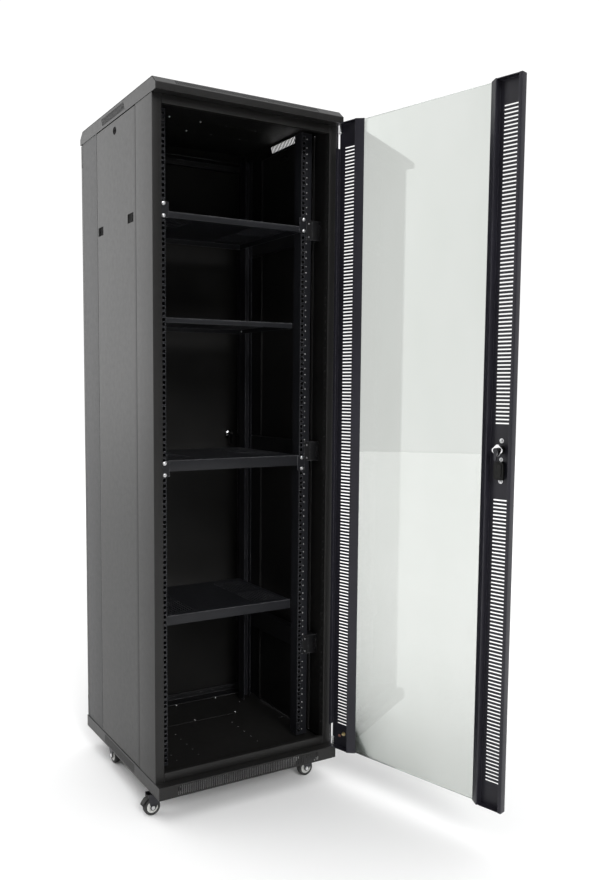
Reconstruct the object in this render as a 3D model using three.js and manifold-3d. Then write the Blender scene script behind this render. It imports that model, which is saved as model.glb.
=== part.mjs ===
// Network server rack cabinet: 42 U, 600 mm wide, floor standing, glass front door hinged on the right.
// Millimetres, +Z up. The cabinet is drawn with X to the right, Y from front to rear and Z up from the
// floor, and the whole assembly is moved at the end so that the middle of its bounding box is on the axis.
import * as THREE from "three";
import { mergeVertices } from "three/addons/utils/BufferGeometryUtils.js";
import Module from "manifold-3d";

const wasm = await Module();
wasm.setup();

// ---- driving dimensions ----
const WIDTH = 600;
const DEPTH = 622;
const HALF = WIDTH / 2;
const STEEL = 2; // sheet of the frame, panels, cover and base
const GAP = 0.3; // between pieces that touch

const BASE_UNDERSIDE = 72;
const BASE_TOP = 108.5;
const COVER_BOTTOM = 2009.5;
const COVER_CREASE = 2027.5;
const COVER_TOP = 2048;
const COVER_CHAMFER = 23.8;

const BODY_SIDE = 298.5; // outer face of posts and side panels
const BODY_FRONT = 29.5; // front face of the front posts; the door stands before it
const BODY_REAR = 600;
const BODY_LOW = BASE_TOP + GAP;
const BODY_HIGH = COVER_BOTTOM - GAP;
const FRONT_STRIP_END = 147; // where the front post's side ends and the side panel starts
const REAR_STRIP_START = 469;
const POST_FACE = 27.5; // width of a post seen from the front
const POST_LIP = 20; // depth of the lip behind the post's inner edge

const RAIL_INNER = 225; // half the clear opening between the mounting rails
const RAIL_OUTER = 261.7;
const RAIL_FRONT = 110; // mounting face of the front rails
const RAIL_REAR = 500; // mounting face of the rear rails
const RAIL_LOW = 118;
const RAIL_HIGH = 2000;
const UNIT = 44.45; // one rack unit
const UNITS = 42;
const HOLE_COLUMN = 232.5; // half of the 465 mm hole spacing
const HOLE_SIDE = 9.5;

const BEAM_HEIGHTS = { lower: 412, middle: 1032, upper: 1712 };
const BEAM_OUTER = 290;
const BEAM_REAR = 590;

const DOOR_OPEN = 104.8; // degrees, as stored
const HINGE_X = 294;
const HINGE_Y = 6.5;
const DOOR_EDGE = 297.5; // hinge-side edge of the closed door
const DOOR_FACE = 1.2; // outer face of the closed front door
const DOOR_DEEP = 22;
const DOOR_WIDE = 595;
const DOOR_LOW = 111.5;
const DOOR_HIGH = 2007;
const SKIN = 1.5;
const GLASS_THICK = 4;
const HINGE_STILE_END = 72; // inner walls of the two stiles, measured from the hinge edge
const LOCK_STILE_START = 523;
const BORDER = 21; // width of the flange that slopes from a stile's ridge down to the glass
const PIN_NOTCH = 70; // height of the notch around each hinge pin
const LOCK_U = 556; // lock axis, measured from the hinge edge along the door
const LOCK_Z = 1072;
const STUD_U = 44; // earth stud
const STUD_Z = 157;

const REAR_LOCK_X = 240;
const REAR_LOCK_Z = 1064;

const STEM_X = 263;
const STEM_FRONT_Y = 75;
const STEM_REAR_Y = 481;
const WHEEL_R = 25;
const WHEEL_WIDE = 20;
const TRAIL = 30;

// ---- materials ----
function material(color, roughness, metalness) {
  return new THREE.MeshStandardMaterial({ color, roughness, metalness });
}
const blackPaint = material(0x1c1c1f, 0.55, 0.2);
const railPaint = material(0x242428, 0.5, 0.3);
const chrome = material(0xd6d8da, 0.15, 1);
const zinc = material(0xa9adb2, 0.35, 0.9);
const brass = material(0xc9a24b, 0.3, 0.9);
const blackPlastic = material(0x151515, 0.6, 0);
const glass = material(0xdfe6e1, 0.05, 0);
glass.transparent = true;
glass.opacity = 0.35;
const caster = material(0x2a2a2c, 0.7, 0);

// ---- shapes ----
function block(x0, x1, y0, y1, z0, z1) {
  const box = new THREE.BoxGeometry(x1 - x0, y1 - y0, z1 - z0);
  return box.translate((x0 + x1) / 2, (y0 + y1) / 2, (z0 + z1) / 2);
}

// A closed outline in X and Y, raised from z0 to z1.
function upright(points, z0, z1, holes = []) {
  const shape = new THREE.Shape(points.map(([x, y]) => new THREE.Vector2(x, y)));
  for (const hole of holes) {
    shape.holes.push(new THREE.Path(hole.map(([x, y]) => new THREE.Vector2(x, y))));
  }
  const solid = new THREE.ExtrudeGeometry(shape, { depth: z1 - z0, bevelEnabled: false, curveSegments: 8 });
  return solid.translate(0, 0, z0);
}

// An outline in Y and Z, drawn out along X.
function along_x(points, x0, x1) {
  const solid = upright(points, x0, x1);
  const turn = new THREE.Matrix4().makeBasis(
    new THREE.Vector3(0, 1, 0),
    new THREE.Vector3(0, 0, 1),
    new THREE.Vector3(1, 0, 0),
  );
  return solid.applyMatrix4(turn);
}

// An outline in X and Z with holes, drawn from y0 back to y1.
function along_y(points, y0, y1, holes = []) {
  const solid = upright(points, -y1, -y0, holes);
  return solid.rotateX(Math.PI / 2);
}

function rectangle(a0, a1, b0, b1) {
  return [[a0, b0], [a1, b0], [a1, b1], [a0, b1]];
}

function rod(axis, centre, radius, length, segments = 20) {
  const solid = new THREE.CylinderGeometry(radius, radius, length, segments);
  if (axis === "x") solid.rotateZ(Math.PI / 2);
  if (axis === "z") solid.rotateX(Math.PI / 2);
  return solid.translate(...centre);
}

// ---- joining and cutting ----
function to_solid(geometry) {
  const plain = geometry.clone();
  plain.deleteAttribute("normal");
  plain.deleteAttribute("uv");
  const merged = mergeVertices(plain, 1e-4);
  return new wasm.Manifold(
    new wasm.Mesh({
      numProp: 3,
      vertProperties: merged.attributes.position.array,
      triVerts: new Uint32Array(merged.index.array),
    }),
  );
}

function to_geometry(solid) {
  const mesh = solid.getMesh();
  const geometry = new THREE.BufferGeometry();
  geometry.setAttribute("position", new THREE.BufferAttribute(mesh.vertProperties, 3));
  geometry.setIndex(new THREE.BufferAttribute(mesh.triVerts, 1));
  geometry.computeVertexNormals();
  return geometry;
}

function shaped(pieces, cuts = []) {
  let solid = to_solid(pieces[0]);
  for (const piece of pieces.slice(1)) {
    solid = solid.add(to_solid(piece));
  }
  for (const tool of cuts) {
    solid = solid.subtract(to_solid(tool));
  }
  return to_geometry(solid);
}

// The same shape on the other side of the cabinet's middle plane.
function mirrored(geometry) {
  const copy = geometry.clone().scale(-1, 1, 1);
  const index = copy.index.array;
  for (let i = 0; i < index.length; i += 3) {
    [index[i + 1], index[i + 2]] = [index[i + 2], index[i + 1]];
  }
  return copy;
}

function named(name, geometry, look) {
  const mesh = new THREE.Mesh(geometry, look);
  mesh.name = name;
  return mesh;
}

// Turns a shape drawn in place about an upright axis.
function turned_about(geometry, x, y, degrees) {
  geometry.translate(-x, -y, 0);
  geometry.rotateZ(THREE.MathUtils.degToRad(degrees));
  return geometry.translate(x, y, 0);
}

const rack = new THREE.Group();

// ---- base and cover ----
function pin_hole(x, y, z) {
  return rod("z", [x, y, z], 3.5, 12, 16);
}

function base_plinth() {
  const walls = shaped(
    [block(-HALF, HALF, 0, DEPTH, BASE_UNDERSIDE, BASE_TOP)],
    [
      block(-HALF + STEEL, HALF - STEEL, STEEL, DEPTH - STEEL, BASE_UNDERSIDE - 1, BASE_TOP - STEEL),
      block(-150, 150, 400, 540, BASE_TOP - 5, BASE_TOP + 5),
      pin_hole(HINGE_X, HINGE_Y, BASE_TOP),
      pin_hole(-HINGE_X, DEPTH - HINGE_Y, BASE_TOP),
    ],
  );
  const pads = [];
  for (const side of [-1, 1]) {
    for (const y of [STEM_FRONT_Y, STEM_REAR_Y]) {
      const inner = 215 * side;
      const outer = (HALF - 1) * side;
      const low = BASE_UNDERSIDE;
      pads.push(block(Math.min(inner, outer), Math.max(inner, outer), y - 45, y + 45, low, low + 3));
    }
  }
  return shaped([walls, ...pads]);
}
rack.add(named("base_plinth", base_plinth(), blackPaint));

function floor_gland_plate() {
  const z = BASE_TOP + GAP;
  return shaped([block(-162, 162, 388, 552, z, z + 1.5)]);
}
rack.add(named("floor_gland_plate", floor_gland_plate(), blackPaint));

function top_cover() {
  const hood = (inset, bottom) => [
    [inset, bottom],
    [DEPTH - inset, bottom],
    [DEPTH - inset, COVER_CREASE - inset / 2],
    [DEPTH - COVER_CHAMFER - inset / 2, COVER_TOP - inset],
    [COVER_CHAMFER + inset / 2, COVER_TOP - inset],
    [inset, COVER_CREASE - inset / 2],
  ];
  const shell = shaped(
    [along_x(hood(0, COVER_BOTTOM), -HALF, HALF)],
    [along_x(hood(STEEL, COVER_BOTTOM - 1), -HALF + STEEL, HALF - STEEL)],
  );
  const ledge_high = COVER_BOTTOM + STEEL;
  const front_ledge = block(-HALF + 1, HALF - 1, 1, BODY_FRONT, COVER_BOTTOM, ledge_high);
  const rear_ledge = block(-HALF + 1, HALF - 1, BODY_REAR + 1, DEPTH - 1, COVER_BOTTOM, ledge_high);
  return shaped(
    [shell, front_ledge, rear_ledge],
    [pin_hole(HINGE_X, HINGE_Y, COVER_BOTTOM), pin_hole(-HINGE_X, DEPTH - HINGE_Y, COVER_BOTTOM)],
  );
}
rack.add(named("top_cover", top_cover(), blackPaint));

// ---- welded front and rear frames ----
// The left post: face, long side and a lip behind the inner edge.
function front_post_outline() {
  const inner = -BODY_SIDE + POST_FACE;
  return [
    [-BODY_SIDE, BODY_FRONT],
    [inner, BODY_FRONT],
    [inner, BODY_FRONT + POST_LIP],
    [inner - STEEL, BODY_FRONT + POST_LIP],
    [inner - STEEL, BODY_FRONT + STEEL],
    [-BODY_SIDE + STEEL, BODY_FRONT + STEEL],
    [-BODY_SIDE + STEEL, FRONT_STRIP_END],
    [-BODY_SIDE, FRONT_STRIP_END],
  ];
}

// The rear post has no lip, so that the depth beams can run up to its face.
function rear_post_outline() {
  const inner = -BODY_SIDE + POST_FACE;
  return [
    [-BODY_SIDE, REAR_STRIP_START],
    [-BODY_SIDE + STEEL, REAR_STRIP_START],
    [-BODY_SIDE + STEEL, BODY_REAR - STEEL],
    [inner, BODY_REAR - STEEL],
    [inner, BODY_REAR],
    [-BODY_SIDE, BODY_REAR],
  ];
}

// Top and bottom beams: an upright face with a shelf folded inwards.
function frame_beams(face0, face1, fold0, fold1) {
  const reach = BODY_SIDE - 1;
  const low_edge = 135;
  const high_edge = 1985;
  return [
    block(-reach, reach, face0, face1, BODY_LOW, low_edge),
    block(-reach, reach, fold0, fold1, BODY_LOW, BODY_LOW + STEEL),
    block(-reach, reach, face0, face1, high_edge, BODY_HIGH),
    block(-reach, reach, fold0, fold1, BODY_HIGH - STEEL, BODY_HIGH),
  ];
}

function front_frame() {
  const post = shaped([upright(front_post_outline(), BODY_LOW, BODY_HIGH)]);
  const beams = frame_beams(BODY_FRONT, BODY_FRONT + STEEL, BODY_FRONT, BODY_FRONT + 45);
  const strike_x = -BODY_SIDE + POST_FACE;
  const strike = block(strike_x - 4, strike_x + 2, 31.7, 40, LOCK_Z - 34, LOCK_Z + 18);
  return shaped([post, mirrored(post), ...beams], [strike]);
}
rack.add(named("front_frame", front_frame(), blackPaint));

function rear_frame() {
  const post = shaped([upright(rear_post_outline(), BODY_LOW, BODY_HIGH)]);
  const beams = frame_beams(BODY_REAR - STEEL, BODY_REAR, BODY_REAR - 45, BODY_REAR);
  return shaped([post, mirrored(post), ...beams]);
}
rack.add(named("rear_frame", rear_frame(), blackPaint));

// ---- beams from front to rear that carry the mounting rails ----
function depth_beam(height) {
  const low = height - 30;
  const high = height + 30;
  const inner = RAIL_OUTER + GAP;
  const front = RAIL_FRONT - 3.5;
  const reach = 296.2; // both end tabs run out to the posts
  const channel = shaped(
    [block(inner, BEAM_OUTER, front, BEAM_REAR, low, high)],
    [block(inner + STEEL, BEAM_OUTER + 1, RAIL_FRONT, BEAM_REAR + 1, low + STEEL, high - STEEL)],
  );
  const front_tab = block(243, reach, front, front + 3, low, high);
  const rear_tab = block(inner, reach, BEAM_REAR - 3, BEAM_REAR, low, high);
  return shaped([channel, front_tab, rear_tab]);
}
for (const [level, height] of Object.entries(BEAM_HEIGHTS)) {
  const right = depth_beam(height);
  rack.add(named(`depth_beam_${level}_right`, right, blackPaint));
  rack.add(named(`depth_beam_${level}_left`, mirrored(right), blackPaint));
}

// ---- 19 inch mounting rails ----
function rail_holes() {
  const first = (RAIL_LOW + RAIL_HIGH - UNITS * UNIT) / 2 + UNIT / 2;
  const holes = [];
  for (let unit = 0; unit < UNITS; unit += 1) {
    const z = first + unit * UNIT;
    const half = HOLE_SIDE / 2;
    holes.push(rectangle(HOLE_COLUMN - half, HOLE_COLUMN + half, z - half, z + half));
  }
  return holes;
}

// The right-hand rail; `into` is +1 where the flanges run to the rear, -1 to the front.
function rail(face_y, into) {
  const span = (from, to) => [Math.min(from, to), Math.max(from, to)];
  const face = span(face_y, face_y + STEEL * into);
  const inner_flange = span(face_y, face_y + 40 * into);
  const outer_flange = span(face_y, face_y + 20 * into);
  return shaped([
    along_y(rectangle(RAIL_INNER, RAIL_OUTER, RAIL_LOW, RAIL_HIGH), ...face, rail_holes()),
    block(RAIL_INNER, RAIL_INNER + STEEL, ...inner_flange, RAIL_LOW, RAIL_HIGH),
    block(RAIL_OUTER - STEEL, RAIL_OUTER, ...outer_flange, RAIL_LOW, RAIL_HIGH),
  ]);
}
const front_rail = rail(RAIL_FRONT, 1);
const rear_rail = rail(RAIL_REAR, -1);
rack.add(named("mounting_rail_front_right", front_rail, railPaint));
rack.add(named("mounting_rail_front_left", mirrored(front_rail), railPaint));
rack.add(named("mounting_rail_rear_right", rear_rail, railPaint));
rack.add(named("mounting_rail_rear_left", mirrored(rear_rail), railPaint));

// ---- shelves ----
const SHELVES = [
  { name: "shelf_1_flanged", top: 1721, lip: 18, front: 106.5, ear: 1725 },
  { name: "shelf_2_fixed", top: 1431, lip: 16, front: 153 },
  { name: "shelf_3_flanged", top: 1021, lip: 33, front: 106.5, ear: 996 },
  { name: "shelf_4_fixed", top: 553, lip: 30, front: 153 },
];

function shelf({ top, lip, front, ear }) {
  const half = RAIL_INNER - 2;
  const rear = RAIL_REAR - 4;
  const pieces = [block(-half, half, front, rear, top - lip, top)];
  if (ear) {
    const ear_low = ear - 22;
    const ear_high = ear + 22;
    pieces.push(block(-242.5, -half + 8, front, RAIL_FRONT - GAP, ear_low, ear_high));
    pieces.push(block(half - 8, 242.5, front, RAIL_FRONT - GAP, ear_low, ear_high));
  }
  const under = block(
    -half + STEEL, half - STEEL, front + 3.2, rear - STEEL, top - lip - 40, top - STEEL,
  );
  return shaped(pieces, [under]);
}
for (const one of SHELVES) {
  rack.add(named(one.name, shelf(one), railPaint));
}

// ---- side panels with their latches and locks ----
const PANEL_FRONT = FRONT_STRIP_END + 1;
const PANEL_REAR = REAR_STRIP_START - 1;
const PANEL_LOCK = { y: 311, z: 1979 };
const LATCH_Z = 1708;
const LATCHES = { front: { y: 189, into: 1 }, rear: { y: 437, into: -1 } };

function side_panel() {
  const low = BODY_LOW + 2;
  const high = BODY_HIGH - 2;
  const skin = BODY_SIDE - STEEL;
  const tray = shaped(
    [block(BODY_SIDE - 8, BODY_SIDE, PANEL_FRONT, PANEL_REAR, low, high)],
    [block(BODY_SIDE - 9, skin, PANEL_FRONT + STEEL, PANEL_REAR - STEEL, low + STEEL, high - STEEL)],
  );
  const cuts = [rod("x", [skin, PANEL_LOCK.y, PANEL_LOCK.z], 9.5, 12, 16)];
  for (const { y } of Object.values(LATCHES)) {
    cuts.push(block(skin - 3, BODY_SIDE + 2, y - 22, y + 22, LATCH_Z - 13, LATCH_Z + 13));
  }
  return shaped([tray], cuts);
}

// A plate behind the panel with a finger tab that shows in the cut-out.
function side_latch({ y, into }) {
  const back = BODY_SIDE - STEEL - GAP;
  const plate = block(back - STEEL, back, y - 26, y + 26, LATCH_Z - 17, LATCH_Z + 17);
  const tab_y = y - 14;
  const tab = block(back - 1, BODY_SIDE - 0.6, tab_y - 6, tab_y + 6, LATCH_Z - 11, LATCH_Z + 11);
  const latch = shaped([plate, tab]);
  if (into < 0) {
    latch.translate(0, -y, 0).scale(1, -1, 1).translate(0, y, 0);
    const index = latch.index.array;
    for (let i = 0; i < index.length; i += 3) {
      [index[i + 1], index[i + 2]] = [index[i + 2], index[i + 1]];
    }
  }
  return latch;
}

// Barrel and cam; the cam lies along Y when unlocked.
function side_lock() {
  const { y, z } = PANEL_LOCK;
  const back = BODY_SIDE - STEEL - GAP;
  return shaped([
    rod("x", [BODY_SIDE + 0.85, y, z], 11, 1.1, 24),
    rod("x", [BODY_SIDE - 6.9, y, z], 9, 16, 20),
    block(back - 12, back - 9.5, y - 8, y + 26, z - 8, z + 8),
  ]);
}

const right_panel = side_panel();
rack.add(named("side_panel_right", right_panel, blackPaint));
rack.add(named("side_panel_left", mirrored(right_panel), blackPaint));
for (const [place, latch] of Object.entries(LATCHES)) {
  const right = side_latch(latch);
  rack.add(named(`side_latch_right_${place}`, right, blackPlastic));
  rack.add(named(`side_latch_left_${place}`, mirrored(right), blackPlastic));
}
const right_lock = side_lock();
rack.add(named("side_lock_right", right_lock, zinc));
rack.add(named("side_lock_left", mirrored(right_lock), zinc));

// ---- front door, drawn closed and then turned open about its hinge pins ----
// u runs from the hinge edge to the free edge, v from the outer face into the cabinet.
const door_x = (u) => DOOR_EDGE - u;
const door_y = (v) => DOOR_FACE + v;

function door_block(u0, u1, v0, v1, z0, z1) {
  return block(door_x(u1), door_x(u0), door_y(v0), door_y(v1), z0, z1);
}

function door_upright(points, z0, z1) {
  const outline = points.map(([u, v]) => [door_x(u), door_y(v)]).reverse();
  return upright(outline, z0, z1);
}

// The sheet-metal section that both stiles end in beside the glass: a wall from the outer skin up to
// a ridge, and a flange that slopes from the ridge down over the edge of the glass.
function glass_border(wall, toward_glass) {
  const at = (u, v) => [wall + toward_glass * u, v];
  const outline = [
    at(-SKIN, 0), at(0, 0), at(0, DOOR_DEEP - 2), at(BORDER, GLASS_THICK + 0.4),
    at(BORDER + 1, GLASS_THICK + 1.6), at(1, DOOR_DEEP), at(-SKIN, DOOR_DEEP),
  ];
  if (toward_glass < 0) outline.reverse();
  return door_upright(outline, DOOR_LOW, DOOR_HIGH);
}

// Outer skin, edge wall with its return lip, glass border and closed ends; `edge` is the stile's outer
// edge, `wall` its inner one and `inward` the direction from edge to wall.
function stile(edge, wall, inward, cuts) {
  const across = (from, to, ...rest) => door_block(Math.min(from, to), Math.max(from, to), ...rest);
  return shaped(
    [
      across(edge, wall, 0, SKIN, DOOR_LOW, DOOR_HIGH),
      across(edge, edge + inward * SKIN, 0, DOOR_DEEP, DOOR_LOW, DOOR_HIGH),
      across(edge, edge + inward * 9, DOOR_DEEP - SKIN, DOOR_DEEP, DOOR_LOW, DOOR_HIGH),
      glass_border(wall, inward),
      across(edge + inward, wall - inward, 0.5, DOOR_DEEP, DOOR_HIGH - SKIN, DOOR_HIGH),
      across(edge + inward, wall - inward, 0.5, DOOR_DEEP, DOOR_LOW, DOOR_LOW + SKIN),
    ],
    cuts,
  );
}

function hinge_stile() {
  return stile(0, HINGE_STILE_END, 1, [
    door_block(-1, 12, SKIN + 0.2, DOOR_DEEP + 1, DOOR_HIGH - PIN_NOTCH, DOOR_HIGH - SKIN),
    door_block(-1, 12, SKIN + 0.2, DOOR_DEEP + 1, DOOR_LOW + SKIN, DOOR_LOW + PIN_NOTCH),
    rod("z", [HINGE_X, HINGE_Y, DOOR_HIGH], 3.3, 8, 16),
    rod("z", [HINGE_X, HINGE_Y, DOOR_LOW], 3.3, 8, 16),
    rod("y", [door_x(STUD_U), door_y(1), STUD_Z], 2.8, 8, 12),
  ]);
}

function lock_stile() {
  return stile(DOOR_WIDE, LOCK_STILE_START, -1, [
    door_block(LOCK_U - 9.5, LOCK_U + 9.5, -1, 8, 993.5, 1042.5),
    rod("y", [door_x(LOCK_U), door_y(1), LOCK_Z], 11.5, 8, 20),
  ]);
}

// Escutcheon outside, lock body through the stile and the bush that the spindle turns in.
function lock_housing() {
  const bush = rod("y", [door_x(LOCK_U), door_y(9.6), LOCK_Z], 11, 20.2, 24);
  const bore = rod("y", [door_x(LOCK_U), door_y(6), LOCK_Z], 5.6, 30, 16);
  return shaped(
    [
      door_block(LOCK_U - 12, LOCK_U + 12, -2.3, -0.3, 962, 1102),
      door_block(LOCK_U - 9, LOCK_U + 9, -0.5, 16, 994, 1042),
      bush,
    ],
    [bore],
  );
}

function lock_nut() {
  const reach = 18;
  const outline = [[reach, 0], [0, reach], [-reach, 0], [0, -reach]];
  const plate = along_y(outline, 0, 4);
  plate.translate(door_x(LOCK_U), door_y(20), LOCK_Z);
  const bore = rod("y", [door_x(LOCK_U), door_y(22), LOCK_Z], 5.6, 12, 16);
  return shaped([plate], [bore]);
}

function lock_spindle() {
  const from = -8.6;
  const to = 35;
  return shaped([rod("y", [door_x(LOCK_U), door_y((from + to) / 2), LOCK_Z], 5, to - from, 20)]);
}

function lock_cam() {
  const x = door_x(LOCK_U);
  return shaped(
    [
      rod("y", [x, door_y(32.5), LOCK_Z], 8, 3, 20),
      block(x - 6, x + 6, door_y(31), door_y(34), LOCK_Z - 28, LOCK_Z),
    ],
    [rod("y", [x, door_y(32.5), LOCK_Z], 5.3, 8, 16)],
  );
}

function swing_handle() {
  const x = door_x(LOCK_U);
  const profile = [
    [door_y(-9.2), 1084], [door_y(-9.2), 968], [door_y(-13), 964], [door_y(-17), 968],
    [door_y(-18), 1040], [door_y(-16), 1082], [door_y(-13), 1086],
  ];
  return shaped([along_x(profile, x - 7.5, x + 7.5)]);
}

function front_glass() {
  return door_block(HINGE_STILE_END + 1, LOCK_STILE_START - 1, 0, GLASS_THICK, DOOR_LOW, DOOR_HIGH);
}

function earth_stud() {
  const x = door_x(STUD_U);
  return shaped([
    rod("y", [x, door_y(4), STUD_Z], 2.5, 13, 12),
    rod("y", [x, door_y(5), STUD_Z], 5.5, 5, 6),
  ]);
}

function door_pin(x, y, ledge, into) {
  return shaped([rod("z", [x, y, ledge + 14 * into], 3, 36, 16)]);
}

const door_pieces = [
  ["front_door_hinge_stile", hinge_stile(), blackPaint],
  ["front_door_lock_stile", lock_stile(), blackPaint],
  ["front_door_glass", front_glass(), glass],
  ["front_door_pin_top", door_pin(HINGE_X, HINGE_Y, COVER_BOTTOM, -1), zinc],
  ["front_door_pin_bottom", door_pin(HINGE_X, HINGE_Y, BASE_TOP, 1), zinc],
  ["front_lock_housing", lock_housing(), blackPlastic],
  ["front_lock_nut", lock_nut(), chrome],
  ["front_lock_spindle", lock_spindle(), zinc],
  ["front_lock_cam", lock_cam(), chrome],
  ["front_swing_handle", swing_handle(), blackPlastic],
  ["door_earth_stud", earth_stud(), brass],
];
for (const [name, geometry, look] of door_pieces) {
  rack.add(named(name, turned_about(geometry, HINGE_X, HINGE_Y, DOOR_OPEN), look));
}

// ---- rear door, closed, hinged on the left seen from the front ----
function rear_door_panel() {
  const outer = DEPTH - DOOR_FACE;
  const inner = outer - 18;
  const edge = DOOR_EDGE;
  const tray = shaped(
    [block(-edge, edge, inner, outer, DOOR_LOW, DOOR_HIGH)],
    [block(-edge + SKIN, edge - SKIN, inner - 1, outer - SKIN, DOOR_LOW + SKIN, DOOR_HIGH - SKIN)],
  );
  return shaped(
    [tray],
    [
      block(-edge - 1, -edge + 12, inner - 1, outer - SKIN - 0.2, DOOR_HIGH - PIN_NOTCH, DOOR_HIGH - SKIN),
      block(-edge - 1, -edge + 12, inner - 1, outer - SKIN - 0.2, DOOR_LOW + SKIN, DOOR_LOW + PIN_NOTCH),
      rod("z", [-HINGE_X, DEPTH - HINGE_Y, DOOR_HIGH], 3.3, 8, 16),
      rod("z", [-HINGE_X, DEPTH - HINGE_Y, DOOR_LOW], 3.3, 8, 16),
      rod("y", [REAR_LOCK_X, outer, REAR_LOCK_Z], 9.5, 12, 20),
    ],
  );
}

function rear_lock() {
  return shaped([
    rod("y", [REAR_LOCK_X, DEPTH - 0.45, REAR_LOCK_Z], 12, 0.9, 24),
    rod("y", [REAR_LOCK_X, 607, REAR_LOCK_Z], 9, 29, 20),
    block(REAR_LOCK_X - 7, REAR_LOCK_X + 7, 592.5, 595, REAR_LOCK_Z - 36, REAR_LOCK_Z + 7),
  ]);
}
rack.add(named("rear_door_panel", rear_door_panel(), blackPaint));
rack.add(named("rear_door_pin_top", door_pin(-HINGE_X, DEPTH - HINGE_Y, COVER_BOTTOM, -1), zinc));
rack.add(named("rear_door_pin_bottom", door_pin(-HINGE_X, DEPTH - HINGE_Y, BASE_TOP, 1), zinc));
rack.add(named("rear_lock", rear_lock(), chrome));

// ---- casters: plate, swivelling fork, wheel and, in front, a brake pedal ----
// Each is drawn with its stem on the Z axis and its wheel trailing along +X, then turned and placed.
function caster_plate() {
  const high = BASE_UNDERSIDE - GAP;
  return shaped([
    block(-33, 33, -33, 33, high - 2.2, high),
    rod("z", [0, 0, high - 4], 17, 4, 24),
  ]);
}

function caster_fork() {
  const high = BASE_UNDERSIDE - GAP - 6.5;
  const leg = [[-17, high], [-17, high - 5], [20, 18]];
  for (let i = 0; i <= 6; i += 1) {
    const angle = -Math.PI * 0.65 + (Math.PI * 0.75 * i) / 6;
    leg.push([TRAIL + 8 * Math.cos(angle), WHEEL_R + 8 * Math.sin(angle)]);
  }
  leg.push([44, 52], [44, high]);
  const half = WHEEL_WIDE / 2 + 1.2;
  return shaped([
    along_y(leg, -half - 2.5, -half),
    along_y(leg, half, half + 2.5),
    block(-17, 28, -half - 2.5, half + 2.5, high - 3, high),
    rod("y", [TRAIL, 0, WHEEL_R], 4, 2 * half + 4, 16),
  ]);
}

function caster_wheel() {
  const half = WHEEL_WIDE / 2;
  const section = [
    [4.6, -half], [WHEEL_R - 2, -half], [WHEEL_R, -half + 3], [WHEEL_R, half - 3],
    [WHEEL_R - 2, half], [4.6, half], [4.6, -half],
  ].map(([r, y]) => new THREE.Vector2(r, y));
  const wheel = new THREE.LatheGeometry(section, 24);
  return shaped([wheel.translate(TRAIL, 0, WHEEL_R)]);
}

// A curved pedal that hugs the wheel, hung between the ends of the fork's legs.
function caster_pedal() {
  const band = [];
  const steps = 6;
  const arc = (radius, i) => {
    const angle = THREE.MathUtils.degToRad(14 + (56 * i) / steps);
    return [TRAIL + radius * Math.cos(angle), WHEEL_R + radius * Math.sin(angle)];
  };
  for (let i = 0; i <= steps; i += 1) {
    band.push(arc(31.5, i));
  }
  for (let i = steps; i >= 0; i -= 1) {
    band.push(arc(28.5, i));
  }
  const half = WHEEL_WIDE / 2;
  return shaped([along_y(band, -half, half), rod("y", [40, 0, 55.5], 2.6, 2 * half, 12)]);
}

function place_caster(geometry, x, y, degrees) {
  geometry.rotateZ(THREE.MathUtils.degToRad(degrees));
  return geometry.translate(x, y, 0);
}

const CASTERS = [
  { key: "front_left", x: -STEM_X, y: STEM_FRONT_Y, degrees: 180, braked: true },
  { key: "front_right", x: STEM_X, y: STEM_FRONT_Y, degrees: 180, braked: true },
  { key: "rear_left", x: -STEM_X, y: STEM_REAR_Y, degrees: -90, braked: false },
  { key: "rear_right", x: STEM_X, y: STEM_REAR_Y, degrees: -90, braked: false },
];
for (const { key, x, y, degrees, braked } of CASTERS) {
  rack.add(named(`caster_plate_${key}`, place_caster(caster_plate(), x, y, 0), zinc));
  rack.add(named(`caster_fork_${key}`, place_caster(caster_fork(), x, y, degrees), caster));
  rack.add(named(`caster_wheel_${key}`, place_caster(caster_wheel(), x, y, degrees), caster));
  if (braked) {
    rack.add(named(`caster_brake_${key}`, place_caster(caster_pedal(), x, y, degrees), blackPlastic));
  }
}

// ---- the part's frame: middle of the bounding box over the origin, floor at z = 0 ----
const box = new THREE.Box3().setFromObject(rack);
rack.position.set(-(box.min.x + box.max.x) / 2, -(box.min.y + box.max.y) / 2, -box.min.z);

export default rack;
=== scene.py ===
"""Looks of the server rack cabinet: folded sheet-metal shells, slots, fasteners, casters and materials.

Lengths are millimetres in the cabinet's own axes, X to the right, Y from front to rear and Z up from the
floor, with X = 0 in the middle of the base and Y = 0 at its front. `point` turns them into the frame's
metres.
"""
import math

import bmesh
import bpy
from mathutils import Matrix, Vector


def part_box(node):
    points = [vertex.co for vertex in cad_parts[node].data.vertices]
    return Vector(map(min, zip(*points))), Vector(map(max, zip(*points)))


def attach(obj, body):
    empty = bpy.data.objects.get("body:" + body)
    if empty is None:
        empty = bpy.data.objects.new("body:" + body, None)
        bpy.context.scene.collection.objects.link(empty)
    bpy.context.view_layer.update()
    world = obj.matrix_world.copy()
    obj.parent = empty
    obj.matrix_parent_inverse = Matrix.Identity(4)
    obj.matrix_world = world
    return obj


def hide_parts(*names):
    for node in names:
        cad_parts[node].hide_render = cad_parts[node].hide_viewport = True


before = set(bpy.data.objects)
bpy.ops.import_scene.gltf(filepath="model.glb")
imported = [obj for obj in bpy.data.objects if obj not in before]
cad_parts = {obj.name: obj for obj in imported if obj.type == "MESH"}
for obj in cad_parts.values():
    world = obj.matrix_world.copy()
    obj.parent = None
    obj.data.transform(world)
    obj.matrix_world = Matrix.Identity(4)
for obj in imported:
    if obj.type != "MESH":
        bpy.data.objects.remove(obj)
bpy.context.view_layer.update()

# ---- driving dimensions ----
base_low, base_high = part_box("base_plinth")
CENTRE_X = (base_low.x + base_high.x) / 2
FRONT_Y = base_low.y
MM = 0.001
WIDTH = 600
HALF = WIDTH / 2
DEPTH = 622
STEEL = 2
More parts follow.
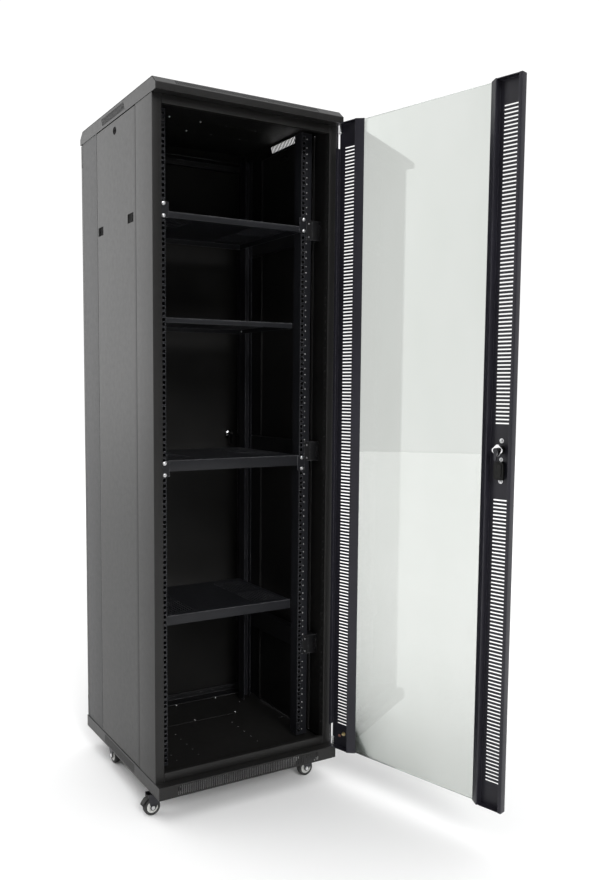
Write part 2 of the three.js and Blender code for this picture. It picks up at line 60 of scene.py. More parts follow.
BASE_LOW = 72
BASE_HIGH = 108.5
SKIRT_SLOT_LOW = 77
SKIRT_SLOT_HIGH = 104
SKIRT_PITCH = 6
SKIRT_OPEN = 1.8
COVER_LOW = 2009.5
COVER_CREASE = 2027.5
COVER_HIGH = 2048
CHAMFER = 23.8
COVER_OPEN = 2.8
BODY_SIDE = 298.5
BODY_FRONT = 29.5
BODY_REAR = 600
BODY_LOW = 108.8
BODY_HIGH = 2009.2
POST_INNER = 271
FRONT_STRIP_END = 147
REAR_STRIP_START = 469

UNIT = 44.45
UNITS = 42
RAIL_LOW = 118
RAIL_HIGH = 2000
RAIL_INNER = 225
RAIL_OUTER = 261.7
RAIL_FRONT = 110
RAIL_REAR = 500
HOLE_X = 232.5
HOLE = 9.5
HOLE_STEP = 15.875
BEAM_HEIGHTS = {"lower": 412, "middle": 1032, "upper": 1712}
BEAM_HALF = 30

DOOR_OPEN = math.radians(104.8)
HINGE = (294, 6.5)
REAR_HINGE = (-HINGE[0], DEPTH - HINGE[1])
PIN_HOLE = 3.5
DOOR_EDGE = 297.5
DOOR_FACE = 1.2
DOOR_LOW = 111.5
DOOR_HIGH = 2007
DOOR_WIDE = 595
DOOR_DEEP = 22
SKIN = 1.5
SLOT_PITCH = 10
SLOT_OPEN = 3.6
HINGE_STILE_END = 72
LOCK_STILE_START = 523
BORDER = 21
LOCK_U = 556
LOCK_Z = 1072
PIN_NOTCH = 70
LIP_WIDE = 9
LIP_KEPT = 4.5
CAM_HOLE = 7


def point(x, y, z):
    return Vector((CENTRE_X + x * MM, FRONT_Y + y * MM, z * MM))


def section(y, z, x):
    """A point of what is drawn in the plane of Y and Z."""
    return point(x, y, z)


def on_door(u, v, z):
    """A point of the front door at the stored angle: u from its hinge edge, v inwards from its outer face."""
    x = DOOR_EDGE - u - HINGE[0]
    y = DOOR_FACE + v - HINGE[1]
    c, s = math.cos(DOOR_OPEN), math.sin(DOOR_OPEN)
    return point(HINGE[0] + x * c - y * s, HINGE[1] + x * s + y * c, z)


def door_face(u, z, v):
    """A point of what is drawn in the plane of the front door."""
    return on_door(u, v, z)


def mirrored(side, near, far):
    """Two distances from the middle as rising X values, on the right for side 1 and on the left for -1."""
    return sorted((near * side, far * side))


# ---- mesh helpers ----
def new_piece(name, bm, body, material, replaces=(), bevel=0.0, segments=2, smooth=True):
    """Turns a bmesh into a finished piece that rides on a body."""
    bmesh.ops.remove_doubles(bm, verts=bm.verts, dist=1e-7)
    bmesh.ops.recalc_face_normals(bm, faces=bm.faces)
    mesh = bpy.data.meshes.new(name)
    bm.to_mesh(mesh)
    bm.free()
    piece = bpy.data.objects.new(name, mesh)
    bpy.context.scene.collection.objects.link(piece)
    for one in material if isinstance(material, (list, tuple)) else [material]:
        mesh.materials.append(one)
    if bevel:
        rounding = piece.modifiers.new("Rounded edges", "BEVEL")
        rounding.width = bevel * MM
        rounding.segments = segments
        rounding.limit_method = "ANGLE"
        rounding.angle_limit = math.radians(35)
        rounding.harden_normals = True
    if smooth:
        for face in mesh.polygons:
            face.use_smooth = True
        mesh.set_sharp_from_angle(angle=math.radians(35))
    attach(piece, body)
    if replaces:
        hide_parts(*replaces)


def folded(bm, profile, lines, place, thick, missing=lambda u, v: False):
    """A sheet that follows `profile`, drawn out along `lines`.

    The profile lists (a, b, u), u being its developed length, and place(a, b, v) gives the point. Each cell
    of the grid whose middle `missing(u, v)` accepts is left open.
    """
    count = len(profile)
    normals = []
    for i in range(count):
        before = profile[max(i - 1, 0)]
        after = profile[min(i + 1, count - 1)]
        d = Vector((after[0] - before[0], after[1] - before[1]))
        d.normalize()
        normals.append((-d.y, d.x))
    grid = {}

    def vertex(i, j, side):
        if (i, j, side) not in grid:
            a, b, _ = profile[i]
            n = normals[i]
            off = thick * side
            grid[i, j, side] = bm.verts.new(place(a + n[0] * off, b + n[1] * off, lines[j]))
        return grid[i, j, side]

    solid = set()
    for i in range(count - 1):
        for j in range(len(lines) - 1):
            u = (profile[i][2] + profile[i + 1][2]) / 2
            if not missing(u, (lines[j] + lines[j + 1]) / 2):
                solid.add((i, j))
    for i, j in sorted(solid):
        corners = [(i, j), (i + 1, j), (i + 1, j + 1), (i, j + 1)]
        bm.faces.new([vertex(*c, 0) for c in corners])
        bm.faces.new([vertex(*c, 1) for c in reversed(corners)])
        sides = [(0, -1), (1, 0), (0, 1), (-1, 0)]
        for k, (di, dj) in enumerate(sides):
            if (i + di, j + dj) not in solid:
                p, q = corners[k], corners[(k + 1) % 4]
                bm.faces.new([vertex(*q, 0), vertex(*p, 0), vertex(*p, 1), vertex(*q, 1)])


def bent(corners, radius=1.6, extra=()):
    """Profile of a folded sheet through `corners`, with each bend as a short arc.

    `extra` lists developed lengths at which the grid needs a line, measured along the sharp corners.
    """
    points = [Vector(c) for c in corners]
    out = []
    travelled = 0.0
    for i, p in enumerate(points):
        if i == 0 or i == len(points) - 1:
            out.append((p.x, p.y, travelled))
        else:
            back = (points[i - 1] - p).normalized()
            ahead = (points[i + 1] - p).normalized()
            for k in range(4):
                t = k / 3
                q = p + back * radius * (1 - t) ** 2 + ahead * radius * t ** 2
                out.append((q.x, q.y, travelled + radius * (2 * t - 1)))
        if i < len(points) - 1:
            run = points[i + 1] - p
            for u in sorted(extra):
                if travelled + radius + 0.05 < u < travelled + run.length - radius - 0.05:
                    q = p + run.normalized() * (u - travelled)
                    out.append((q.x, q.y, u))
            travelled += run.length
    return out


def slot_lines(low, high, pitch, gap):
    """Edges of a row of evenly spaced slots between low and high, as (start, end) pairs."""
    count = int((high - low) // pitch)
    first = low + (high - low - (count - 1) * pitch) / 2
    return [(first + i * pitch - gap / 2, first + i * pitch + gap / 2) for i in range(count)]


def within(value, spans):
    return any(a < value < b for a, b in spans)


def flat(spans):
    return [edge for span in spans for edge in span]


def plate(bm, outline, holes, thick, place):
    """A flat sheet with holes of any outline; place(a, b, w) gives the point, w being 0 to thick."""
    loops = [outline] + list(holes)
    front = []
    edges = []
    for loop in loops:
        verts = [bm.verts.new((a, b, 0)) for a, b in loop]
        front.append(verts)
        for k, v in enumerate(verts):
            edges.append(bm.edges.new((v, verts[(k + 1) % len(verts)])))
    filled = bmesh.ops.triangle_fill(bm, use_beauty=True, use_dissolve=False, edges=edges)
    faces = [g for g in filled["geom"] if isinstance(g, bmesh.types.BMFace)]
    twin = {}
    for verts in front:
        for v in verts:
            twin[v] = bm.verts.new((v.co.x, v.co.y, thick))
    for face in faces:
        bm.faces.new([twin[v] for v in reversed(face.verts)])
    for verts in front:
        for k, v in enumerate(verts):
            after = verts[(k + 1) % len(verts)]
            bm.faces.new((after, v, twin[v], twin[after]))
    for v in list(twin) + list(twin.values()):
        v.co = place(*v.co)


def arc(a, b, radius, start, sweep, steps):
    """Points round part of a circle, with both ends."""
    angles = [start + sweep * k / steps for k in range(steps + 1)]
    return [(a + radius * math.cos(angle), b + radius * math.sin(angle)) for angle in angles]


def circle(a, b, radius, steps=20):
    return arc(a, b, radius, 0, math.tau, steps)[:-1]


def rectangle(a0, a1, b0, b1):
    return [(a0, b0), (a1, b0), (a1, b1), (a0, b1)]


def rounded(a0, a1, b0, b1, radius, steps=5):
    """A rectangle with round corners."""
    out = []
    for ca, cb, start in ((a1, b1, 0), (a0, b1, 1), (a0, b0, 2), (a1, b0, 3)):
        ca += -radius if ca == a1 else radius
        cb += -radius if cb == b1 else radius
        out += arc(ca, cb, radius, start * math.pi / 2, math.pi / 2, steps)
    return out


def brick(bm, x0, x1, y0, y1, z0, z1):
    """A box between two corners, for a part of a larger piece."""
    corners = [bm.verts.new(point(x, y, z)) for x in (x0, x1) for y in (y0, y1) for z in (z0, z1)]
    for loop in ((0, 1, 3, 2), (4, 6, 7, 5), (0, 4, 5, 1), (2, 3, 7, 6), (0, 2, 6, 4), (1, 5, 7, 3)):
        bm.faces.new([corners[k] for k in loop])


def lathe(bm, profile, centre, axis, steps=32, material_index=None):
    """A solid of revolution; profile lists (radius, distance along axis) and closes on the axis or itself."""
    axis = Vector(axis).normalized()
    side = axis.orthogonal().normalized()
    other = axis.cross(side)
    rings = []
    for radius, along in profile:
        if radius < 1e-6:
            rings.append([bm.verts.new(centre + axis * along * MM)])
        else:
            ring = []
            for k in range(steps):
                angle = math.tau * k / steps
                spoke = side * math.cos(angle) + other * math.sin(angle)
                ring.append(bm.verts.new(centre + axis * along * MM + spoke * radius * MM))
            rings.append(ring)
    closed = len(rings[0]) > 1
    pairs = list(zip(rings, rings[1:]))
    if closed:
        pairs.append((rings[-1], rings[0]))
    for n, (one, two) in enumerate(pairs):
        for k in range(steps):
            after = (k + 1) % steps
            loop = [one[k % len(one)], one[after % len(one)], two[after % len(two)], two[k % len(two)]]
            unique = list(dict.fromkeys(loop))
            if len(unique) > 2:
                face = bm.faces.new(unique)
                if material_index:
                    face.material_index = material_index[n]


def prism(bm, outline, low, high, place):
    """An outline in (a, b) drawn out from low to high; place(a, b, w) gives the point."""
    plate(bm, outline, [], high - low, lambda a, b, w: place(a, b, low + w))


def screw_head(bm, centre, axis, radius=3.6, high=2.2, washer=0.0):
    """A pan-head screw with a cross recess, on an optional washer."""
    axis = Vector(axis).normalized()
    if washer:
        lathe(bm, [(0, 0), (washer, 0), (washer, 0.7), (0, 0.7)], centre, axis, 24)
        centre = centre + axis * 0.7 * MM
    r, h = radius, high
    lathe(bm, [(0, 0), (r, 0), (r, h * 0.35), (r * 0.86, h * 0.75), (r * 0.55, h * 0.97), (r * 0.34, h),
               (r * 0.2, h * 0.35), (0, h * 0.3)], centre, axis, 20)


# ---- materials ----
class Nodes:
    """Builds a node tree a step at a time."""

    def __init__(self, tree):
        self.tree = tree
        self.coordinates = self.add("ShaderNodeTexCoord").outputs

    def add(self, kind, **settings):
        node = self.tree.nodes.new(kind)
        for key, value in settings.items():
            if key in node.inputs:
                node.inputs[key].default_value = value
            else:
                setattr(node, key, value)
        return node

    def link(self, source, target):
        self.tree.links.new(source, target)

    def noise(self, scale, detail=2.0, roughness=0.5, stretch=None):
        texture = self.add("ShaderNodeTexNoise", Scale=scale, Detail=detail, Roughness=roughness)
        source = self.coordinates["Object"]
        if stretch:
            mapping = self.add("ShaderNodeMapping", Scale=stretch)
            self.link(source, mapping.inputs["Vector"])
            source = mapping.outputs["Vector"]
        self.link(source, texture.inputs["Vector"])
        return texture.outputs["Fac"]

    def ramp(self, source, stops):
        node = self.add("ShaderNodeValToRGB")
        for stop, (position, colour) in zip(node.color_ramp.elements, stops):
            stop.position = position
            stop.color = (*colour, 1)
        self.link(source, node.inputs["Fac"])
        return node.outputs["Color"]

    def remap(self, source, low, high, from_low=0.3, from_high=0.7):
        span = {"From Min": from_low, "From Max": from_high, "To Min": low, "To Max": high}
        node = self.add("ShaderNodeMapRange", **span)
        self.link(source, node.inputs["Value"])
        return node.outputs["Result"]

    def mix(self, factor, a, b):
        node = self.add("ShaderNodeMix", data_type="RGBA")
        self.link(factor, node.inputs["Factor"])
        for key, value in (("A", a), ("B", b)):
            socket = [s for s in node.inputs if s.name == key and s.type == "RGBA"][0]
            if isinstance(value, (list, tuple)):
                socket.default_value = (*value, 1)
            else:
                self.link(value, socket)
        return [s for s in node.outputs if s.type == "RGBA"][0]

    def edges(self, radius):
        """1 along convex edges and 0 on the flats."""
        soft = self.add("ShaderNodeBevel", samples=3)
        soft.inputs["Radius"].default_value = radius * MM
        geometry = self.add("ShaderNodeNewGeometry")
        dot = self.add("ShaderNodeVectorMath", operation="DOT_PRODUCT")
        self.link(soft.outputs["Normal"], dot.inputs[0])
        self.link(geometry.outputs["Normal"], dot.inputs[1])
        return self.remap(dot.outputs["Value"], 1.0, 0.0, 0.80, 0.985)

    def bump(self, height, strength, distance, after=None):
        node = self.add("ShaderNodeBump", Strength=strength, Distance=distance * MM)
        self.link(height, node.inputs["Height"])
        if after:
            self.link(after, node.inputs["Normal"])
        return node.outputs["Normal"]


class Surface(Nodes):
    """The node tree of a new material, which already holds its main shader."""

    def __init__(self, name):
        self.material = bpy.data.materials.new(name)
        self.material.use_nodes = True
        super().__init__(self.material.node_tree)
        self.shader = self.tree.nodes["Principled BSDF"]

    def set(self, name, value):
        self.shader.inputs[name].default_value = value


def powder_coat(name, dark, light, roughness, edge_wear_and_highlight=(0.10, 0.10, 0.105)):
    """Satin powder coat: orange-peel grain, faint cloudy sheen, edges lightened partly as rubbed wear and
    partly as a painted highlight along the folds, a little dust.
    """
    n = Surface(name)
    cloud = n.noise(5.0, 4.0, 0.6)
    fine = n.noise(60.0, 3.0, 0.6)
    body = n.ramp(cloud, [(0.32, dark), (0.7, light)])
    speck = n.remap(n.noise(900.0, 1.0), 0.0, 1.0, 0.62, 0.75)
    dusty = n.mix(speck, body, tuple(c * 1.6 + 0.006 for c in light))
    # Convex edges are lightened towards the edge colour: partly rubbed wear, partly a painted highlight along
    # the folded edges.
    wear_and_highlight_mask = n.add("ShaderNodeMath", operation="MULTIPLY")
    n.link(n.edges(0.9), wear_and_highlight_mask.inputs[0])
    n.link(n.remap(fine, 0.25, 1.0, 0.35, 0.65), wear_and_highlight_mask.inputs[1])
    n.link(n.mix(wear_and_highlight_mask.outputs["Value"], dusty, edge_wear_and_highlight), n.shader.inputs["Base Color"])
    n.link(n.remap(fine, roughness - 0.02, roughness + 0.03, 0.3, 0.7), n.shader.inputs["Roughness"])
    peel = n.bump(n.noise(420.0, 2.0, 0.55), 0.18, 0.08)
    n.link(n.bump(n.noise(2.2, 1.0), 0.05, 0.5, peel), n.shader.inputs["Normal"])
    n.set("Specular IOR Level", 0.3)
    return n.material


def plated(name, colour, roughness, scratches=0.25):
    """Plated or machined metal with fine scratches and cloudy tarnish."""
    n = Surface(name)
    tarnish = n.noise(70.0, 4.0, 0.6)
    n.link(n.ramp(tarnish, [(0.3, tuple(c * 0.72 for c in colour)), (0.65, colour)]),
           n.shader.inputs["Base Color"])
    streak = n.noise(260.0, 3.0, 0.6, stretch=(1, 1, 9))
    n.link(n.remap(streak, roughness * 0.7, roughness * 1.4), n.shader.inputs["Roughness"])
    n.link(n.bump(streak, scratches, 0.05), n.shader.inputs["Normal"])
    n.set("Metallic", 1.0)
    return n.material


def moulded(name, dark, light, roughness, grain=0.4, specular=0.4):
    """Moulded plastic or rubber with a fine spark-eroded grain."""
    n = Surface(name)
    n.link(n.ramp(n.noise(45.0, 4.0, 0.65), [(0.3, dark), (0.7, light)]), n.shader.inputs["Base Color"])
    n.link(n.remap(n.noise(130.0, 3.0), roughness - 0.07, roughness + 0.08), n.shader.inputs["Roughness"])
    n.link(n.bump(n.noise(1100.0, 2.0), grain, 0.05), n.shader.inputs["Normal"])
    n.set("Specular IOR Level", specular)
    return n.material


def pane_glass():
    """Lightly tinted toughened glass with a faint green cast, soft smears and a slight waviness."""
    n = Surface("toughened_glass")
    n.tree.nodes.remove(n.shader)
    smear = n.noise(3.0, 5.0, 0.62, stretch=(1, 1, 0.35))
    clear = n.add("ShaderNodeBsdfTransparent")
    tint = n.ramp(smear, [(0.3, (0.790, 0.804, 0.786)), (0.7, (0.816, 0.827, 0.813))])
    n.link(tint, clear.inputs["Color"])
    gloss = n.add("ShaderNodeBsdfGlossy")
    n.link(n.ramp(smear, [(0.3, (0.86, 0.90, 0.88)), (0.7, (0.95, 0.97, 0.96))]), gloss.inputs["Color"])
    n.link(n.remap(smear, 0.01, 0.04), gloss.inputs["Roughness"])
    wave = n.bump(n.noise(1.3, 0.0), 0.04, 0.4)
    n.link(wave, gloss.inputs["Normal"])
    blend = n.add("ShaderNodeMixShader")
    n.link(n.add("ShaderNodeFresnel", IOR=1.45).outputs["Fac"], blend.inputs["Fac"])
    n.link(clear.outputs["BSDF"], blend.inputs[1])
    n.link(gloss.outputs["BSDF"], blend.inputs[2])
    n.link(blend.outputs["Shader"], n.tree.nodes["Material Output"].inputs["Surface"])
    return n.material


PAINT = powder_coat("black_powder_coat", (0.0085, 0.0082, 0.0080), (0.013, 0.0125, 0.012), 0.40)
DOOR_PAINT = powder_coat("door_powder_coat", (0.0125, 0.012, 0.0165), (0.0185, 0.0175, 0.0245), 0.36,
                         edge_wear_and_highlight=(0.16, 0.16, 0.18))
# The inner and shelf coats get a light edge colour that is chiefly a painted highlight along their folded
# edges.
INNER_PAINT = powder_coat("inner_powder_coat", (0.006, 0.006, 0.0065), (0.010, 0.010, 0.011), 0.45,
                          edge_wear_and_highlight=(0.30, 0.30, 0.31))
SHELF_PAINT = powder_coat("shelf_powder_coat", (0.0080, 0.0082, 0.0100), (0.0125, 0.013, 0.0155), 0.38,
                          edge_wear_and_highlight=(0.30, 0.30, 0.32))
ZINC = plated("bright_zinc", (0.86, 0.86, 0.87), 0.30)
ZINC_DULL = plated("dull_zinc", (0.42, 0.42, 0.43), 0.40)
CHROME = plated("polished_chrome", (0.83, 0.83, 0.84), 0.12, 0.1)
STEEL_DARK = plated("black_zinc", (0.06, 0.06, 0.065), 0.36)
BRASS = plated("brass", (0.93, 0.80, 0.48), 0.34)
PLASTIC = moulded("black_plastic", (0.008, 0.008, 0.0075), (0.015, 0.015, 0.014), 0.5, specular=0.2)
# Rougher, less shiny copy of the black plastic, with its colour darkened further as painted shade on the side
# latches and side locks.
MATT_PLASTIC_PAINTED_SHADE = moulded("matt_plastic_painted_shade", (0.004, 0.004, 0.004), (0.008, 0.008, 0.008), 0.8, specular=0.12)
MARK_PAINT = moulded("pale_mark_paint", (0.55, 0.55, 0.55), (0.72, 0.72, 0.72), 0.55)
TREAD = moulded("grey_black_rubber", (0.018, 0.018, 0.018), (0.038, 0.037, 0.036), 0.62, 0.6)
NYLON = moulded("pale_nylon", (0.50, 0.50, 0.48), (0.62, 0.62, 0.60), 0.42, 0.3)
TERMINAL = moulded("brown_plastic", (0.20, 0.09, 0.07), (0.30, 0.15, 0.12), 0.5)
GLASS = pane_glass()


# ---- base ----
def base_plinth():
    bm = bmesh.new()
    slots = slot_lines(-243, 237, SKIRT_PITCH, SKIRT_OPEN)
    side_slots = slot_lines(188, 447, SKIRT_PITCH, SKIRT_OPEN)

    def skirt(along_low, along_high, spans, place):
        lines = sorted({along_low, along_high, *flat(spans)})
        profile = [(z, 0, z) for z in (BASE_LOW, SKIRT_SLOT_LOW, SKIRT_SLOT_HIGH, BASE_HIGH)]
        folded(bm, profile, lines, place, STEEL,
               lambda z, along: SKIRT_SLOT_LOW < z < SKIRT_SLOT_HIGH and within(along, spans))

    skirt(-HALF, HALF, slots, lambda z, w, x: point(x, w, z))
    skirt(-HALF, HALF, slots, lambda z, w, x: point(x, DEPTH - w, z))
    skirt(STEEL, DEPTH - STEEL, side_slots, lambda z, w, y: point(-HALF + w, y, z))
    skirt(STEEL, DEPTH - STEEL, side_slots, lambda z, w, y: point(HALF - w, y, z))
    row = range(324, 151, -43)
    dots = [(104, y) for y in row] + [(-180, 188), (-180, 147), (216, 478)] + [(-104, y) for y in row]
    floor_holes = [circle(x, y, 2.6, 10) for x, y in dots]
    floor_holes += [circle(*hinge, PIN_HOLE, 12) for hinge in (HINGE, REAR_HINGE)]
    floor_holes.append(rounded(262, 280, 279, 285, 2.9, 4))
    floor_holes.append(rectangle(-150, 150, 400, 540))
    plate(bm, rectangle(-HALF + STEEL, HALF - STEEL, STEEL, DEPTH - STEEL), floor_holes, STEEL,
          lambda x, y, w: point(x, y, BASE_HIGH - w))
    for side in (-1, 1):
        for y in (75, 481):
            brick(bm, *mirrored(side, 215, 298), y - 45, y + 45, BASE_LOW, BASE_LOW + 3)
    new_piece("base_shell", bm, "cabinet", PAINT, ["base_plinth"], 0.5)


def gland_plate():
    thick = 1.5
    bm = bmesh.new()
    plate(bm, rounded(-162, 162, 388, 552, 6), [], thick, lambda x, y, w: point(x, y, BODY_LOW + w))
    new_piece("floor_plate_sheet", bm, "cabinet", PAINT, ["floor_gland_plate"], 0.3)
    bm = bmesh.new()
    for x in (-154, 0, 154):
        for y in (395, 545):
            screw_head(bm, point(x, y, BODY_LOW + thick), (0, 0, 1), 3.4, 1.9)
    new_piece("floor_plate_screws", bm, "cabinet", ZINC)


# ---- cover ----
def cover_outline(inset):
    """The cover's end in Y and Z, drawn in by a little."""
    return [(inset, COVER_LOW), (DEPTH - inset, COVER_LOW), (DEPTH - inset, COVER_CREASE),
            (DEPTH - CHAMFER, COVER_HIGH - inset), (CHAMFER, COVER_HIGH - inset), (inset, COVER_CREASE)]


def top_cover():
    bm = bmesh.new()
    slots = slot_lines(-242, 219, SKIRT_PITCH, COVER_OPEN)
    rise = COVER_HIGH - COVER_CREASE
    slope = math.hypot(CHAMFER, rise)
    drop = COVER_CREASE - COVER_LOW
    slot_start, slot_end = drop + 5, drop + slope - 5
    fans = ((-72.5, 360), (121.5, 357))
    dots = [(x + a, y + b) for x, y in fans for a in (-52.5, 52.5) for b in (-52.5, 52.5)]
    dots += [(-187, 167), (-186, 132), (173, 130)]
    dot = 2.3
    roof_u = drop + slope - CHAMFER
    dot_spans = [((roof_u + y - dot, roof_u + y + dot), (x - dot, x + dot)) for x, y in dots]
    extra = [slot_start, slot_end, *flat([along for along, _ in dot_spans])]
    profile = bent([(0, COVER_LOW), (0, COVER_CREASE), (CHAMFER, COVER_HIGH), (DEPTH - CHAMFER, COVER_HIGH),
                    (DEPTH, COVER_CREASE), (DEPTH, COVER_LOW)], 1.5, extra)
    lines = sorted({-HALF, HALF, *flat(slots), *flat([span for _, span in dot_spans])})

    def open_at(u, x):
        if slot_start < u < slot_end:
            return within(x, slots)
        return any(a < u < b and c < x < d for (a, b), (c, d) in dot_spans)

    folded(bm, profile, lines, section, -STEEL, open_at)
    vents = []
    low, high, lean = 2017, 2039, 9
    for start, end in slot_lines(222, 413, 8.5, 4.6):
        vents.append([(start, low), (end, low), (end + lean, high), (start + lean, high)])
    for side in (-1, 1):
        plate(bm, cover_outline(0.2), vents, 1.6, lambda y, z, w: point(side * (HALF - w), y, z))
    for y0, y1, hinge in ((STEEL, BODY_FRONT, HINGE), (BODY_REAR + 1, DEPTH - STEEL, REAR_HINGE)):
        plate(bm, rectangle(-HALF + STEEL, HALF - STEEL, y0, y1), [circle(*hinge, PIN_HOLE, 12)], STEEL,
              lambda x, y, w: point(x, y, COVER_LOW + w))
    new_piece("cover_shell", bm, "cabinet", PAINT, ["top_cover"], 0.5)
    bm = bmesh.new()
    for y in (45, 577):
        for x in (-285, 285):
            screw_head(bm, point(x, y, COVER_HIGH - 2.0), (0, 0, 1), 4.2, 2.0)
    for x, y in dots[:4]:
        screw_head(bm, point(x, y, COVER_HIGH - STEEL - 0.2), (0, 0, -1), 3.2, 2.0)
    new_piece("roof_screws", bm, "cabinet", ZINC)


# ---- frames ----
def front_frame():
    """Two posts with a row of holes in the inner lip, and on the left a cut-out for the lock's cam."""
    bm = bmesh.new()
    rows = [(z - 2.4, z + 2.4) for z in range(180, 1941, 25)]
    lip_low, lip_high, lip_bend = 7.5, 12.5, 17
    cam_low, cam_high = LOCK_Z - 34, LOCK_Z + 18
    lines = sorted({BODY_LOW, BODY_HIGH, *flat(rows), cam_low, cam_high})
    for side in (-1, 1):
        corners = [(POST_INNER, 49.5), (POST_INNER, BODY_FRONT), (BODY_SIDE, BODY_FRONT),
                   (BODY_SIDE, FRONT_STRIP_END)]
        profile = bent([(x * side, y) for x, y in corners], 1.6, [lip_low, lip_high])

        def open_at(u, z):
            if side < 0 and cam_low < z < cam_high:
                return lip_low < u < lip_bend
            return lip_low < u < lip_high and within(z, rows)

        folded(bm, profile, lines, point, STEEL * side, open_at)
    beams(bm, 1)
    new_piece("front_frame_shell", bm, "cabinet", PAINT, ["front_frame"], 0.45)


def rear_frame():
    bm = bmesh.new()
    for side in (-1, 1):
        corners = [(POST_INNER, BODY_REAR), (BODY_SIDE, BODY_REAR), (BODY_SIDE, REAR_STRIP_START)]
        profile = bent([(x * side, y) for x, y in corners], 1.6)
        folded(bm, profile, [BODY_LOW, BODY_HIGH], point, -STEEL * side)
    beams(bm, -1)
    new_piece("rear_frame_shell", bm, "cabinet", INNER_PAINT, ["rear_frame"], 0.45)


def beams(bm, into):
    """Top and bottom beams between the posts: a face, and a shelf and a lip folded inwards."""
    face = BODY_FRONT if into > 0 else BODY_REAR
    inner = face + into * 14
    deep = face + into * 45
    reach = POST_INNER - 0.2
    for edge, level, up in ((135, BODY_LOW, 1), (1985, BODY_HIGH, -1)):
        corners = [(inner, edge - 8 * up), (inner, edge), (face, edge), (face, level), (deep, level)]
        folded(bm, bent(corners, 1.6), [-reach, reach], section, STEEL * into * up)


# ---- rails, beams between them, and shelves ----
def rail_rows():
    """The three square holes of each rack unit, 15.875 mm apart with 12.7 mm between units."""
    first = (RAIL_LOW + RAIL_HIGH - UNITS * UNIT) / 2 + UNIT / 2
    rows = []
    for unit in range(UNITS):
        for step in (-HOLE_STEP, 0, HOLE_STEP):
            z = first + unit * UNIT + step
            rows.append((z - HOLE / 2, z + HOLE / 2))
    return rows


def rail(name, side, face_y, into):
    bm = bmesh.new()
    rows = rail_rows()
    inner, outer = 40, 20
    across = HOLE_X - RAIL_INNER
    hole = (inner + across - HOLE / 2, inner + across + HOLE / 2)
    corners = [(RAIL_INNER * side, face_y + inner * into), (RAIL_INNER * side, face_y),
               (RAIL_OUTER * side, face_y), (RAIL_OUTER * side, face_y + outer * into)]
    profile = bent(corners, 1.2, hole)
    lines = sorted({RAIL_LOW, RAIL_HIGH, *flat(rows)})

    def open_at(u, z):
        return hole[0] < u < hole[1] and within(z, rows)

    folded(bm, profile, lines, point, STEEL * side * into, open_at)
    new_piece(name + "_sheet", bm, "cabinet", SHELF_PAINT, [name], 0.25, 1)


def rail_marks(side_name, side):
    """Small painted height marks beside the holes of a front rail, two to each rack unit."""
    bm = bmesh.new()
    first = (RAIL_LOW + RAIL_HIGH - UNITS * UNIT) / 2
    for unit in range(UNITS):
        for step in (9.5, 34.9):
            centre = point(244 * side, RAIL_FRONT, first + unit * UNIT + step)
            lathe(bm, [(0, 0), (1.5, 0), (1.3, 0.16), (0, 0.2)], centre, (0, -1, 0), 10)
    new_piece(f"rail_marks_{side_name}", bm, "cabinet", MARK_PAINT)


def depth_beam(name, side, height):
    bm = bmesh.new()
    low, high = height - BEAM_HALF, height + BEAM_HALF
    corners = [(290, low), (262, low), (262, high), (290, high)]
    folded(bm, bent([(x * side, z) for x, z in corners], 1.6), [RAIL_FRONT - 3.4, 590],
           lambda x, z, y: point(x, y, z), -STEEL * side)
    tab = [(243, low), (296, low), (296, high), (243, high)]
    window = rectangle(286.5, 289.5, height - 17, height + 17)
    for y0, y1, start in ((RAIL_FRONT - 3.5, RAIL_FRONT - 0.6, 243), (587, 589.9, 262.3)):
        outline = [(max(x, start) * side, z) for x, z in tab]
        holes = [[(x * side, z) for x, z in window]] if y0 < 200 else []
        plate(bm, outline, holes, y1 - y0, lambda x, z, w: point(x, y0 + w, z))
    new_piece(name + "_sheet", bm, "cabinet", INNER_PAINT, [name], 0.4)


def beam_screws():
    bm = bmesh.new()
    for height in BEAM_HEIGHTS.values():
        for side in (-1, 1):
            for dz in (19, -21):
                screw_head(bm, point(251 * side, RAIL_FRONT - 3.5, height + dz), (0, -1, 0), 2.8, 1.9)
    new_piece("beam_screws", bm, "cabinet", ZINC_DULL)


# Name, top, lip height, front edge and, where it has ears, their middle height.
SHELVES = (
    ("shelf_1_flanged", 1721, 18, 106.5, 1725),
    ("shelf_2_fixed", 1431, 16, 153, None),
    ("shelf_3_flanged", 1021, 33, 106.5, 996),
    ("shelf_4_fixed", 553, 30, 153, None),
)


def shelf(name, top, lip, front, ear):
    """A tray with a slotted top, folded down on all four sides, and ears where it screws to the rails."""
    bm = bmesh.new()
    half = RAIL_INNER - 2
    rear = RAIL_REAR - 4
    fields = slot_lines(-212, -95, 11, 3.6) + slot_lines(95, 212, 11, 3.6)
    holes = [rounded(x0, x1, y0, y0 + 130, 1.75, 3) for x0, x1 in fields for y0 in (176, 326)]
    plate(bm, rectangle(-half + 1, half - 1, front + 1, rear - 1), holes, STEEL,
          lambda x, y, w: point(x, y, top - w))
    wrap = bent([(front + 12, top - lip + 0.8), (front + 0.8, top - lip + 0.8), (front + 0.8, top - 0.6),
                 (front + 8, top - 0.6)], 1.2)
    folded(bm, wrap, [-half, half], section, -1.6)
    for side in (-1, 1):
        brick(bm, *mirrored(side, half - 2, half), front + 2, rear, top - lip, top - 0.4)
    brick(bm, -half + 2, half - 2, rear - 2, rear, top - lip, top - 0.4)
    if ear:
        low = ear - 22
        for side in (-1, 1):
            outline = [(x * side, z) for x, z in rounded(217, 242.5, low, low + 44, 3, 4)]
            holes = [[(x * side, z) for x, z in circle(HOLE_X, zc, 2.6, 12)] for zc in (low + 5, low + 39)]
            plate(bm, outline, holes, 2.6, lambda x, z, w: point(x, front + w, z))
    new_piece(name + "_tray", bm, "cabinet", SHELF_PAINT, [name], 0.45)


